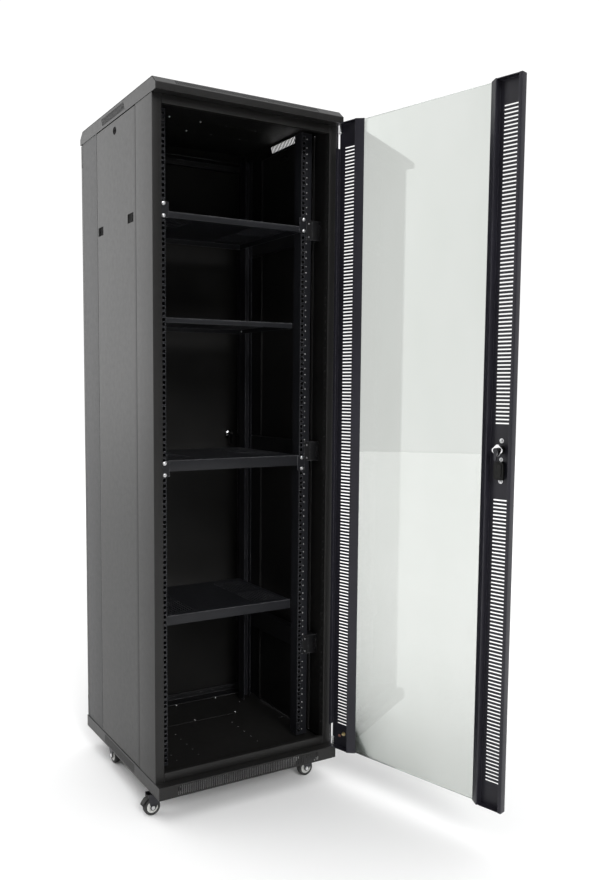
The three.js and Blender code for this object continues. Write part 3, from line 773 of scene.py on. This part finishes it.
def shelf_screws():
    """Screws of the shelves, one in a rear rail and two that hold the front beam down."""
    bm = bmesh.new()
    for _, top, lip, front, ear in SHELVES:
        for side in (-1, 1):
            if ear:
                for dz in (-17, 17):
                    screw_head(bm, point(HOLE_X * side, front, ear + dz), (0, -1, 0), 4.6, 2.8, 5.8)
            else:
                for y in (RAIL_FRONT + 62, RAIL_REAR - 20):
                    screw_head(bm, point((RAIL_INNER - 4) * side, y, top - lip / 2), (-side, 0, 0), 3.6, 2.0)
    screw_head(bm, point(232, RAIL_REAR, 1001), (0, 1, 0), 4.2, 2.6, 5.2)
    for x in (215, -215):
        screw_head(bm, point(x, 54, BODY_LOW + STEEL), (0, 0, 1), 4.2, 2.6, 5.4)
    new_piece("shelf_screws", bm, "cabinet", ZINC)


# ---- side panels ----
PANEL = (148, 468)
LATCH_Z = 1708
LATCH_HALF = (22, 13)
LATCHES = {"front": (189, 1), "rear": (437, -1)}
PANEL_LOCK = (311, 1979)


def side_panel(name, side):
    bm = bmesh.new()
    y0, y1 = PANEL
    low, high = BODY_LOW + STEEL, BODY_HIGH - STEEL
    flange = 8
    wide, tall = LATCH_HALF
    start = flange - y0
    windows = [(start + y - wide, start + y + wide) for y, _ in LATCHES.values()]
    lock = (start + PANEL_LOCK[0] - CAM_HOLE, start + PANEL_LOCK[0] + CAM_HOLE)
    corners = [(BODY_SIDE - flange, y0), (BODY_SIDE, y0), (BODY_SIDE, y1), (BODY_SIDE - flange, y1)]
    profile = bent([(x * side, y) for x, y in corners], 2.0, [*flat(windows), *lock])
    lines = [low, LATCH_Z - tall, LATCH_Z + tall, PANEL_LOCK[1] - CAM_HOLE, PANEL_LOCK[1] + CAM_HOLE, high]

    def open_at(u, z):
        if abs(z - LATCH_Z) < tall:
            return within(u, windows)
        return abs(z - PANEL_LOCK[1]) < CAM_HOLE and lock[0] < u < lock[1]

    folded(bm, profile, lines, point, STEEL * side, open_at)
    for z0 in (low, high - STEEL):
        brick(bm, *mirrored(side, BODY_SIDE - flange, BODY_SIDE - 2.2), y0 + 3, y1 - 3, z0, z0 + STEEL)
    new_piece(name + "_sheet", bm, name, PAINT, [name], 0.5)


def side_latch(name, side, y, into):
    """Sliding plate with a ribbed finger tab, in a moulded frame that lines the panel's cut-out."""
    bm = bmesh.new()
    back = BODY_SIDE - STEEL - 0.3

    def place(a, b, w):
        return point(w * side, y + a * into, LATCH_Z + b)

    prism(bm, rounded(-26, 26, -17, 17, 3), back - STEEL, back, place)
    prism(bm, rounded(-20, -8, -11, 11, 1.5), back - 0.5, BODY_SIDE - 0.9, place)
    for k in range(4):
        a = -18.2 + 2.8 * k
        prism(bm, rounded(a, a + 1.3, -9, 9, 0.5, 2), BODY_SIDE - 1.2, BODY_SIDE - 0.6, place)
    # The latch plastic's extra darkness is painted shade.
    new_piece(name + "_slide", bm, name, MATT_PLASTIC_PAINTED_SHADE, [name], 0.25)


def side_lock(name, side):
    bm = bmesh.new()
    y, z = PANEL_LOCK
    out = (side, 0, 0)
    centre = point(BODY_SIDE * side, y, z)
    lathe(bm, [(0, -14.5), (9, -14.5), (9, 0.3), (11, 0.3), (11, 0.9), (10.2, 1.4), (7.2, 1.4), (6.8, 0.5),
               (2.4, 0.5), (2.2, -3), (0, -3)], centre, out, 32)
    prism(bm, rounded(-8, 26, -8, 8, 4), 284.2, 286.7, lambda a, b, w: point(w * side, y + a, z + b))
    # The lock ring plastic's extra darkness is painted shade.
    new_piece(name + "_barrel", bm, name, MATT_PLASTIC_PAINTED_SHADE, [name], 0.25)


# ---- front door ----
def stile_slots(spans):
    rows = []
    for low, high in spans:
        rows += slot_lines(low, high, SLOT_PITCH, SLOT_OPEN)
    return rows


def stile(name, edge, wall, slot_across, rows, inward, extra_holes=(), notch=False):
    """Return lip, edge wall, slotted outer skin, wall up to the ridge, and a flange that slopes to the glass.

    `notch` cuts the lip and the edge wall away round the hinge pins.
    """
    bm = bmesh.new()
    lip = edge + inward * LIP_WIDE
    corners = [(lip, DOOR_DEEP), (edge, DOOR_DEEP), (edge, 0), (wall, 0), (wall, DOOR_DEEP),
               (wall + inward * BORDER, 5.2)]
    start = LIP_WIDE + DOOR_DEEP
    notch_end = LIP_WIDE + 19.5
    across = sorted(start + abs(u - edge) for u in slot_across)
    cuts = []
    for (u0, u1), span in extra_holes:
        cuts.append((sorted((start + abs(u0 - edge), start + abs(u1 - edge))), span))
    marks = across + flat([cut for cut, _ in cuts]) + ([LIP_KEPT, notch_end] if notch else [])
    profile = bent(corners, 1.6, marks)
    spans = flat([span for _, span in cuts])
    ends = [DOOR_LOW + PIN_NOTCH, DOOR_HIGH - PIN_NOTCH] if notch else []
    lines = sorted({DOOR_LOW, DOOR_HIGH, *flat(rows), *spans, *ends})

    def open_at(u, z):
        if across[0] < u < across[1] and within(z, rows):
            return True
        if notch and LIP_KEPT < u < notch_end and not ends[0] < z < ends[1]:
            return True
        return any(a < u < b and c < z < d for (a, b), (c, d) in cuts)

    folded(bm, profile, lines, on_door, SKIN * inward, open_at)
    reach = sorted((edge + inward * 1.6, wall - inward * 1.6))
    for z in (DOOR_LOW, DOOR_HIGH - SKIN):
        pin = [circle(DOOR_EDGE - HINGE[0], HINGE[1] - DOOR_FACE, 3.3, 12)] if notch else []
        plate(bm, rectangle(*reach, 1.6, DOOR_DEEP - 1.6), pin, SKIN, lambda u, v, w: on_door(u, v, z + w))
    new_piece(name + "_sheet", bm, "front_door", DOOR_PAINT, [name], 0.35)


def hinge_pins(door, hinge, profile):
    """One pin hangs from the cover and one stands on the base, both with their ends in the door."""
    bm = bmesh.new()
    for z, into in ((COVER_LOW, -1), (BASE_HIGH, 1)):
        lathe(bm, [(r, a * into) for r, a in profile], point(*hinge, z), (0, 0, 1), 20)
    new_piece(door + "_pins", bm, door, ZINC, [door + "_pin_top", door + "_pin_bottom"], 0.2)


def front_door():
    stile("front_door_hinge_stile", 0, HINGE_STILE_END, (19, 59), stile_slots([(179, 1945)]), 1, (), True)
    housing = ((LOCK_U - 9.5, LOCK_U + 9.5), (993.5, 1042.5))
    spindle = ((LOCK_U - 8, LOCK_U + 8), (LOCK_Z - 8, LOCK_Z + 8))
    rows = stile_slots([(175, 946), (1136, 1946)])
    stile("front_door_lock_stile", DOOR_WIDE, LOCK_STILE_START, (536.5, 577), rows, -1, (housing, spindle))
    bm = bmesh.new()
    prism(bm, rounded(HINGE_STILE_END + 3, LOCK_STILE_START - 3, DOOR_LOW + 1, DOOR_HIGH - 1, 3), 0, 4,
          door_face)
    new_piece("front_door_pane", bm, "front_door", GLASS, ["front_door_glass"], 0.5, 1, smooth=False)
    collared = [(0, -4), (2.2, -4), (3, -3), (3, 27), (5.2, 27), (5.2, 29.5), (2.4, 29.5), (2.4, 32), (0, 32)]
    hinge_pins("front_door", HINGE, collared)


def door_dir(u, v):
    """Direction of a step in u and v on the stored door."""
    return (on_door(u, v, 0) - on_door(0, 0, 0)).normalized()


def front_lock():
    inward = door_dir(0, 1)
    bm = bmesh.new()
    prism(bm, rounded(LOCK_U - 12, LOCK_U + 12, 962, 1102, 9, 8), -2.3, -0.3, door_face)
    prism(bm, rounded(LOCK_U - 9, LOCK_U + 9, 994, 1042, 4), -0.4, 13, door_face)
    prism(bm, rounded(LOCK_U - 14, LOCK_U + 14, 996, 1040, 7), 9, 16, door_face)
    prism(bm, rounded(LOCK_U - 9, LOCK_U + 9, 1000, 1036, 5), 15.5, 19, door_face)
    lathe(bm, [(5.6, -0.5), (11, -0.5), (11, 19.7), (5.6, 19.7)], on_door(LOCK_U, 0, LOCK_Z), inward, 32)
    new_piece("lock_housing_body", bm, "front_door", PLASTIC, ["front_lock_housing"], 0.7, 3)
    bm = bmesh.new()
    for z, r in ((1096, 4.4), (1047, 3.4), (990, 4.4)):
        screw_head(bm, on_door(LOCK_U, SKIN, z), inward, r, 3.0, r + 1.6)
    new_piece("lock_screws", bm, "front_door", ZINC)
    bm = bmesh.new()
    nut = circle(LOCK_U, LOCK_Z, 18, 4)
    trimmed = []
    for k, (a, b) in enumerate(nut):
        for c, d in (nut[k - 1], nut[(k + 1) % 4]):
            trimmed.append((a + (c - a) * 0.16, b + (d - b) * 0.16))
    plate(bm, trimmed, [circle(LOCK_U, LOCK_Z, 6.0, 24)], 4, lambda u, z, w: on_door(u, 20 + w, z))
    new_piece("lock_nut_plate", bm, "front_door", CHROME, ["front_lock_nut"], 0.5, 3)
    bm = bmesh.new()
    lathe(bm, [(0, -8.6), (5, -8.6), (5, 34.4), (4.4, 35), (0, 35)], on_door(LOCK_U, 0, LOCK_Z), inward, 24)
    screw_head(bm, on_door(LOCK_U, 33.8, LOCK_Z), inward, 4.2, 1.2)
    new_piece("lock_spindle_rod", bm, "front_lock", STEEL_DARK, ["front_lock_spindle"], 0.2)
    bm = bmesh.new()
    outline = [(LOCK_U + a, LOCK_Z + b) for a, b in cam_outline(7.2, 4, 27)]
    plate(bm, outline, [circle(LOCK_U, LOCK_Z, 5.3, 20)], 3, lambda u, z, w: on_door(u, 31 + w, z))
    new_piece("lock_cam_plate", bm, "front_lock", STEEL_DARK, ["front_lock_cam"], 0.4)


def cam_outline(boss, half, reach):
    """A round boss with an arm that hangs straight down."""
    neck = math.asin(half / boss)
    tip = [(-half, -reach + 3), (-half + 3, -reach), (half - 3, -reach), (half, -reach + 3)]
    return arc(0, 0, boss, neck - math.pi / 2, math.tau - 2 * neck, 20) + tip


def swing_handle():
    """Lever with a hollowed grip, a thumb button and a key cylinder, seen on the door's outer side."""
    bm = bmesh.new()
    rings = []
    steps = 14
    top, reach, back = 1085.5, 121, -9.3
    for k in range(steps + 1):
        t = k / steps
        half = 7.4 - 1.6 * math.sin(math.pi * min(t * 1.15, 1))
        front = -17.6 + 2.2 * (2 * t - 0.75) ** 2
        outline = rounded(LOCK_U - half, LOCK_U + half, min(front, back - 2), back, 1.9, 4)
        rings.append([bm.verts.new(on_door(u, v, top - t * reach)) for u, v in outline])
    for one, two in zip(rings, rings[1:]):
        for i in range(len(one)):
            j = (i + 1) % len(one)
            bm.faces.new((one[i], one[j], two[j], two[i]))
    bm.faces.new(rings[0])
    bm.faces.new(reversed(rings[-1]))
    new_piece("handle_lever", bm, "front_handle", PLASTIC, ["front_swing_handle"], 0.5, 3)
    bm = bmesh.new()
    outward = -door_dir(0, 1)
    lathe(bm, [(0, 0), (6.5, 0), (6.5, 1.6), (5.9, 2.1), (4.8, 2.1), (4.6, 1.2), (1.2, 1.2), (1.0, -0.5),
               (0, -0.5)], on_door(LOCK_U, -2.3, 1093), outward, 28)
    lathe(bm, [(0, 0), (5.2, 0), (5.2, 4), (4.4, 4.8), (0, 5)], on_door(LOCK_U, -2.3, 969), outward, 28)
    new_piece("lock_key_barrel", bm, "front_door", CHROME)


def earth_stud():
    inward = door_dir(0, 1)
    foot = on_door(44, 0, 157)
    bm = bmesh.new()
    lathe(bm, [(0, -2.4), (2.5, -2.4), (2.5, 9.8), (2.0, 10.4), (0, 10.4)], foot, inward, 16)
    lathe(bm, [(2.6, SKIN), (6.3, SKIN), (6.3, 2.3), (2.6, 2.3)], foot, inward, 24)
    for low, high in ((2.4, 4.6), (4.9, 7.4)):
        lathe(bm, [(2.6, low), (4.6, low), (5.5, low + 0.5), (5.5, high - 0.5), (4.6, high), (2.6, high)],
              foot, inward, 6)
    new_piece("earth_stud_nuts", bm, "front_door", BRASS, ["door_earth_stud"], 0.2)
    bm = bmesh.new()
    prism(bm, rounded(24, 33, 144, 151, 2), SKIN, 4.5, door_face)
    prism(bm, circle(28.5, 147.5, 2.2, 16), 4.2, 6.5, door_face)
    new_piece("earth_terminal_cap", bm, "front_door", TERMINAL, (), 0.5, 3)


# ---- rear door ----
REAR_LOCK = (240, 1064)


def rear_door():
    bm = bmesh.new()
    x, z = REAR_LOCK
    deep = 18
    outer = DEPTH - DOOR_FACE
    inner = outer - deep
    lock_u = deep + DOOR_EDGE + x
    lock_span = (lock_u - CAM_HOLE, lock_u + CAM_HOLE)
    corners = [(-DOOR_EDGE, inner), (-DOOR_EDGE, outer), (DOOR_EDGE, outer), (DOOR_EDGE, inner)]
    window = (9, 16)
    profile = bent(corners, 1.8, [*window, *lock_span])
    ends = [DOOR_LOW + PIN_NOTCH, DOOR_HIGH - PIN_NOTCH]
    lines = [DOOR_LOW, ends[0], z - CAM_HOLE, z + CAM_HOLE, ends[1], DOOR_HIGH]

    def open_at(u, height):
        if window[0] < u < window[1] and not ends[0] < height < ends[1]:
            return True
        return lock_span[0] < u < lock_span[1] and abs(height - z) < CAM_HOLE

    folded(bm, profile, lines, point, -SKIN, open_at)
    for low in (DOOR_LOW, DOOR_HIGH - SKIN):
        plate(bm, rectangle(-DOOR_EDGE + 1.6, DOOR_EDGE - 1.6, inner, outer - 1.6),
              [circle(*REAR_HINGE, 3.3, 12)], SKIN, lambda a, b, w: point(a, b, low + w))
    new_piece("rear_door_sheet", bm, "rear_door", PAINT, ["rear_door_panel"], 0.45)
    hinge_pins("rear_door", REAR_HINGE, [(0, -4), (1.6, -4), (2.1, -3), (2.1, 31), (1.6, 32), (0, 32)])
    bm = bmesh.new()
    lathe(bm, [(0, -29.2), (9, -29.2), (9, -0.9), (12, -0.9), (12, -0.4), (11.4, 0), (7, 0),
               (6.6, -0.8), (2, -0.8), (1.8, -3), (0, -3)], point(x, DEPTH, z), (0, 1, 0), 36)
    lathe(bm, [(9.2, -17), (13.2, -17), (14, -16.2), (14, -13), (13.2, -12.2), (9.2, -12.2)],
          point(x, DEPTH, z), (0, 1, 0), 6)
    prism(bm, cam_outline(9, 7, 36), 592.5, 595, lambda a, b, y: point(x + a, y, z + b))
    new_piece("rear_lock_barrel", bm, "rear_lock", CHROME, ["rear_lock"], 0.25)


# ---- casters ----
WHEEL_R = 25
TRAIL = 30
PLATE_HIGH = 71.7
STEMS = {
    "front_left": (-263, 75, math.pi),
    "front_right": (263, 75, math.pi),
    "rear_left": (-263, 481, -math.pi / 2),
    "rear_right": (263, 481, -math.pi / 2),
}


def caster_place(key):
    """Local axes of a caster: X the way the wheel trails from the stem, Y across it, Z up from the floor."""
    x0, y0, turn = STEMS[key]
    c, s = math.cos(turn), math.sin(turn)
    return lambda x, y, z: point(x0 + x * c - y * s, y0 + x * s + y * c, z)


def caster_axis(place):
    """Direction of a caster's axle."""
    return place(0, 1, 0) - place(0, 0, 0)


def caster_wheel(key):
    """Rubber tread on a nylon hub, turned from one outline that is mirrored."""
    place = caster_place(key)
    hub = WHEEL_R * 0.62
    bm = bmesh.new()
    half = [(4.6, 8.5), (7.5, 9.6), (9.0, 9.6), (9.6, 7.2), (hub - 2.2, 7.2), (hub - 1.4, 9.4), (hub, 9.4),
            (hub + 1.2, 8.8), (21.5, 9.9), (23.8, 8.6), (WHEEL_R, 5.2)]
    profile = [(r, -a) for r, a in half] + half[::-1]
    parts = [1] * 7 + [0] * 7 + [1] * 8
    lathe(bm, profile, place(TRAIL, 0, WHEEL_R), caster_axis(place), 48, parts)
    new_piece(f"caster_tyre_{key}", bm, f"caster_wheel_{key}", [TREAD, NYLON],
              [f"caster_wheel_{key}"], 0)


def caster_fork(key):
    place = caster_place(key)
    bm = bmesh.new()
    high = 65.2
    leg = [(-17, high), (-17, high - 5)]
    for k in range(6):
        t = k / 5
        leg.append((-12 + 36 * t, high - 8 - 39 * t + 6 * math.sin(math.pi * t)))
    leg += arc(TRAIL, WHEEL_R, 8, -math.pi * 0.62, math.pi * 0.78, 8)
    leg += [(41, 44), (43.6, 52), (44, high)]
    inner, outer = 11.2, 13.7
    for low, top in ((-outer, -inner), (inner, outer)):
        prism(bm, leg, low, top, lambda x, z, y: place(x, y, z))
    prism(bm, rounded(-17, 30, -outer, outer, 3), high - 2.6, high, place)
    prism(bm, circle(0, 0, 15.5, 32), high - 0.3, high + 0.3, place)
    new_piece(f"caster_fork_body_{key}", bm, f"caster_fork_{key}", STEEL_DARK,
              [f"caster_fork_{key}"], 0.5)
    bm = bmesh.new()
    centre = place(TRAIL, 0, WHEEL_R)
    axis = caster_axis(place)
    lathe(bm, [(0, -14), (4, -14), (4, 14), (0, 14)], centre, axis, 16)
    lathe(bm, [(0, 13.6), (6.2, 13.6), (6.2, 15.4), (5.4, 16.2), (0, 16.2)], centre, axis, 6)
    lathe(bm, [(0, -16.2), (4.6, -16.2), (5.6, -15), (5.6, -13.6), (0, -13.6)], centre, axis, 24)
    new_piece(f"caster_axle_{key}", bm, f"caster_fork_{key}", ZINC, (), 0.2)


def caster_plate(key):
    place = caster_place(key)
    bm = bmesh.new()
    prism(bm, rounded(-33, 33, -33, 33, 6), PLATE_HIGH - 2.2, PLATE_HIGH, place)
    lathe(bm, [(0, 65.8), (15, 65.8), (17, 67.2), (17.6, 69.6), (0, 69.6)], place(0, 0, 0), (0, 0, 1), 36)
    for a in (-24, 24):
        for b in (-24, 24):
            lathe(bm, [(0, 66.4), (4.6, 66.4), (5.4, 67), (5.4, 69.6), (0, 69.6)],
                  place(a, b, 0), (0, 0, 1), 6)
    new_piece(f"caster_top_plate_{key}", bm, "cabinet", ZINC, [f"caster_plate_{key}"], 0.3)


def caster_brake(key):
    """Pedal that hugs the tread, on a cross pin between the fork's legs."""
    place = caster_place(key)
    bm = bmesh.new()
    outer = arc(TRAIL, WHEEL_R, 31.4, math.radians(14), math.radians(56), 12)
    inner = arc(TRAIL, WHEEL_R, 28.6, math.radians(70), -math.radians(56), 12)
    prism(bm, outer + inner, -9.9, 9.9, lambda x, z, y: place(x, y, z))
    lathe(bm, [(0, -9.9), (2.6, -9.9), (2.6, 9.9), (0, 9.9)], place(40, 0, 55.5), caster_axis(place), 16)
    new_piece(f"caster_pedal_{key}", bm, f"caster_brake_{key}", PLASTIC,
              [f"caster_brake_{key}"], 0.5)


# ---- building ----
base_plinth()
gland_plate()
top_cover()
front_frame()
rear_frame()
for side_name, sign in (("right", 1), ("left", -1)):
    rail(f"mounting_rail_front_{side_name}", sign, RAIL_FRONT, 1)
    rail(f"mounting_rail_rear_{side_name}", sign, RAIL_REAR, -1)
    for level_name, level_z in BEAM_HEIGHTS.items():
        depth_beam(f"depth_beam_{level_name}_{side_name}", sign, level_z)
    side_panel(f"side_panel_{side_name}", sign)
    side_lock(f"side_lock_{side_name}", sign)
    for place_name, (latch_y, latch_into) in LATCHES.items():
        side_latch(f"side_latch_{side_name}_{place_name}", sign, latch_y, latch_into)
    rail_marks(side_name, sign)
beam_screws()
for shelf_size in SHELVES:
    shelf(*shelf_size)
shelf_screws()
front_door()
front_lock()
swing_handle()
earth_stud()
rear_door()
for caster_key in STEMS:
    caster_plate(caster_key)
    caster_fork(caster_key)
    caster_wheel(caster_key)
    if caster_key.startswith("front"):
        caster_brake(caster_key)


# ---- floor, light and camera ----
def studio_floor():
    bm = bmesh.new()
    bmesh.ops.create_circle(bm, cap_ends=True, segments=64, radius=14)
    mesh = bpy.data.meshes.new("floor")
    bm.to_mesh(mesh)
    bm.free()
    floor = bpy.data.objects.new("floor", mesh)
    bpy.context.scene.collection.objects.link(floor)
    n = Surface("pale_floor")
    n.link(n.ramp(n.noise(0.8, 2.0), [(0.3, (0.93, 0.93, 0.93)), (0.7, (0.95, 0.95, 0.95))]),
           n.shader.inputs["Base Color"])
    n.set("Roughness", 0.9)
    n.set("Specular IOR Level", 0.1)
    mesh.materials.append(n.material)


def studio_world():
    """White behind everything, and for lighting a soft room that is brightest behind, above and on the right.

    It has a lit wall at the back left and a lamp in front.
    """
    world = bpy.data.worlds.new("studio")
    bpy.context.scene.world = world
    world.use_nodes = True
    world.node_tree.nodes.clear()
    n = Nodes(world.node_tree)
    direction = n.coordinates["Generated"]
    axes = n.add("ShaderNodeSeparateXYZ")
    n.link(direction, axes.inputs["Vector"])

    def fade(source, start, end, strength):
        """Rises smoothly from nothing at start to its strength at end."""
        span = {"From Min": start, "From Max": end, "To Max": strength}
        node = n.add("ShaderNodeMapRange", interpolation_type="SMOOTHSTEP", **span)
        n.link(source, node.inputs["Value"])
        return node.outputs["Result"]

    def panel(toward, start, end, strength):
        """A lit wall or lamp panel around one direction."""
        dot = n.add("ShaderNodeVectorMath", operation="DOT_PRODUCT")
        dot.inputs[1].default_value = Vector(toward).normalized()
        n.link(direction, dot.inputs[0])
        return fade(dot.outputs["Value"], start, end, strength)

    lights = [
        fade(axes.outputs["Y"], 0.3, 0.95, 0.5),
        fade(axes.outputs["X"], 0.55, 0.95, 0.6),
        fade(axes.outputs["Z"], 0.30, 0.95, 1.35),
        panel((-0.72, 0.69, 0.05), 0.70, 0.92, 2.0),
        panel((-0.12, -0.86, 0.50), 0.970, 0.985, 12.0),
    ]
    total = lights[0]
    for light in lights[1:]:
        node = n.add("ShaderNodeMath", operation="ADD")
        n.link(total, node.inputs[0])
        n.link(light, node.inputs[1])
        total = node.outputs["Value"]
    ambient = n.add("ShaderNodeMath", operation="ADD")
    n.link(total, ambient.inputs[0])
    ambient.inputs[1].default_value = 0.06
    room = n.add("ShaderNodeBackground", Color=(1, 1, 1, 1))
    n.link(ambient.outputs["Value"], room.inputs["Strength"])
    white = n.add("ShaderNodeBackground", Color=(1, 1, 1, 1), Strength=1.06)
    blend = n.add("ShaderNodeMixShader")
    n.link(n.add("ShaderNodeLightPath").outputs["Is Camera Ray"], blend.inputs["Fac"])
    n.link(room.outputs["Background"], blend.inputs[1])
    n.link(white.outputs["Background"], blend.inputs[2])
    n.link(blend.outputs["Shader"], n.add("ShaderNodeOutputWorld").inputs["Surface"])


def main_camera():
    """Camera at chest height, a little left of the cabinet, looking slightly down."""
    camera = bpy.data.cameras.new("camera")
    holder = bpy.data.objects.new("camera", camera)
    bpy.context.scene.collection.objects.link(holder)
    holder.location = point(-1202.7, -2117.35, 1231.92)
    yaw, pitch, roll = math.radians(29.431), math.radians(-4.857), math.radians(0.2414)
    ahead = Vector((math.sin(yaw) * math.cos(pitch), math.cos(yaw) * math.cos(pitch), math.sin(pitch)))
    right = Vector((math.cos(yaw), -math.sin(yaw), 0))
    up = right.cross(ahead)
    turn = Matrix((right, up, -ahead)).transposed() @ Matrix.Rotation(roll, 3, "Z")
    holder.rotation_euler = turn.to_euler()
    camera.sensor_fit = "VERTICAL"
    camera.sensor_height = 36
    camera.lens = 34.69
    camera.shift_x = 0.0552
    camera.shift_y = 0.0217
    camera.clip_end = 100
    bpy.context.scene.camera = holder


studio_floor()
studio_world()
main_camera()
bpy.context.scene.view_settings.view_transform = "Standard"
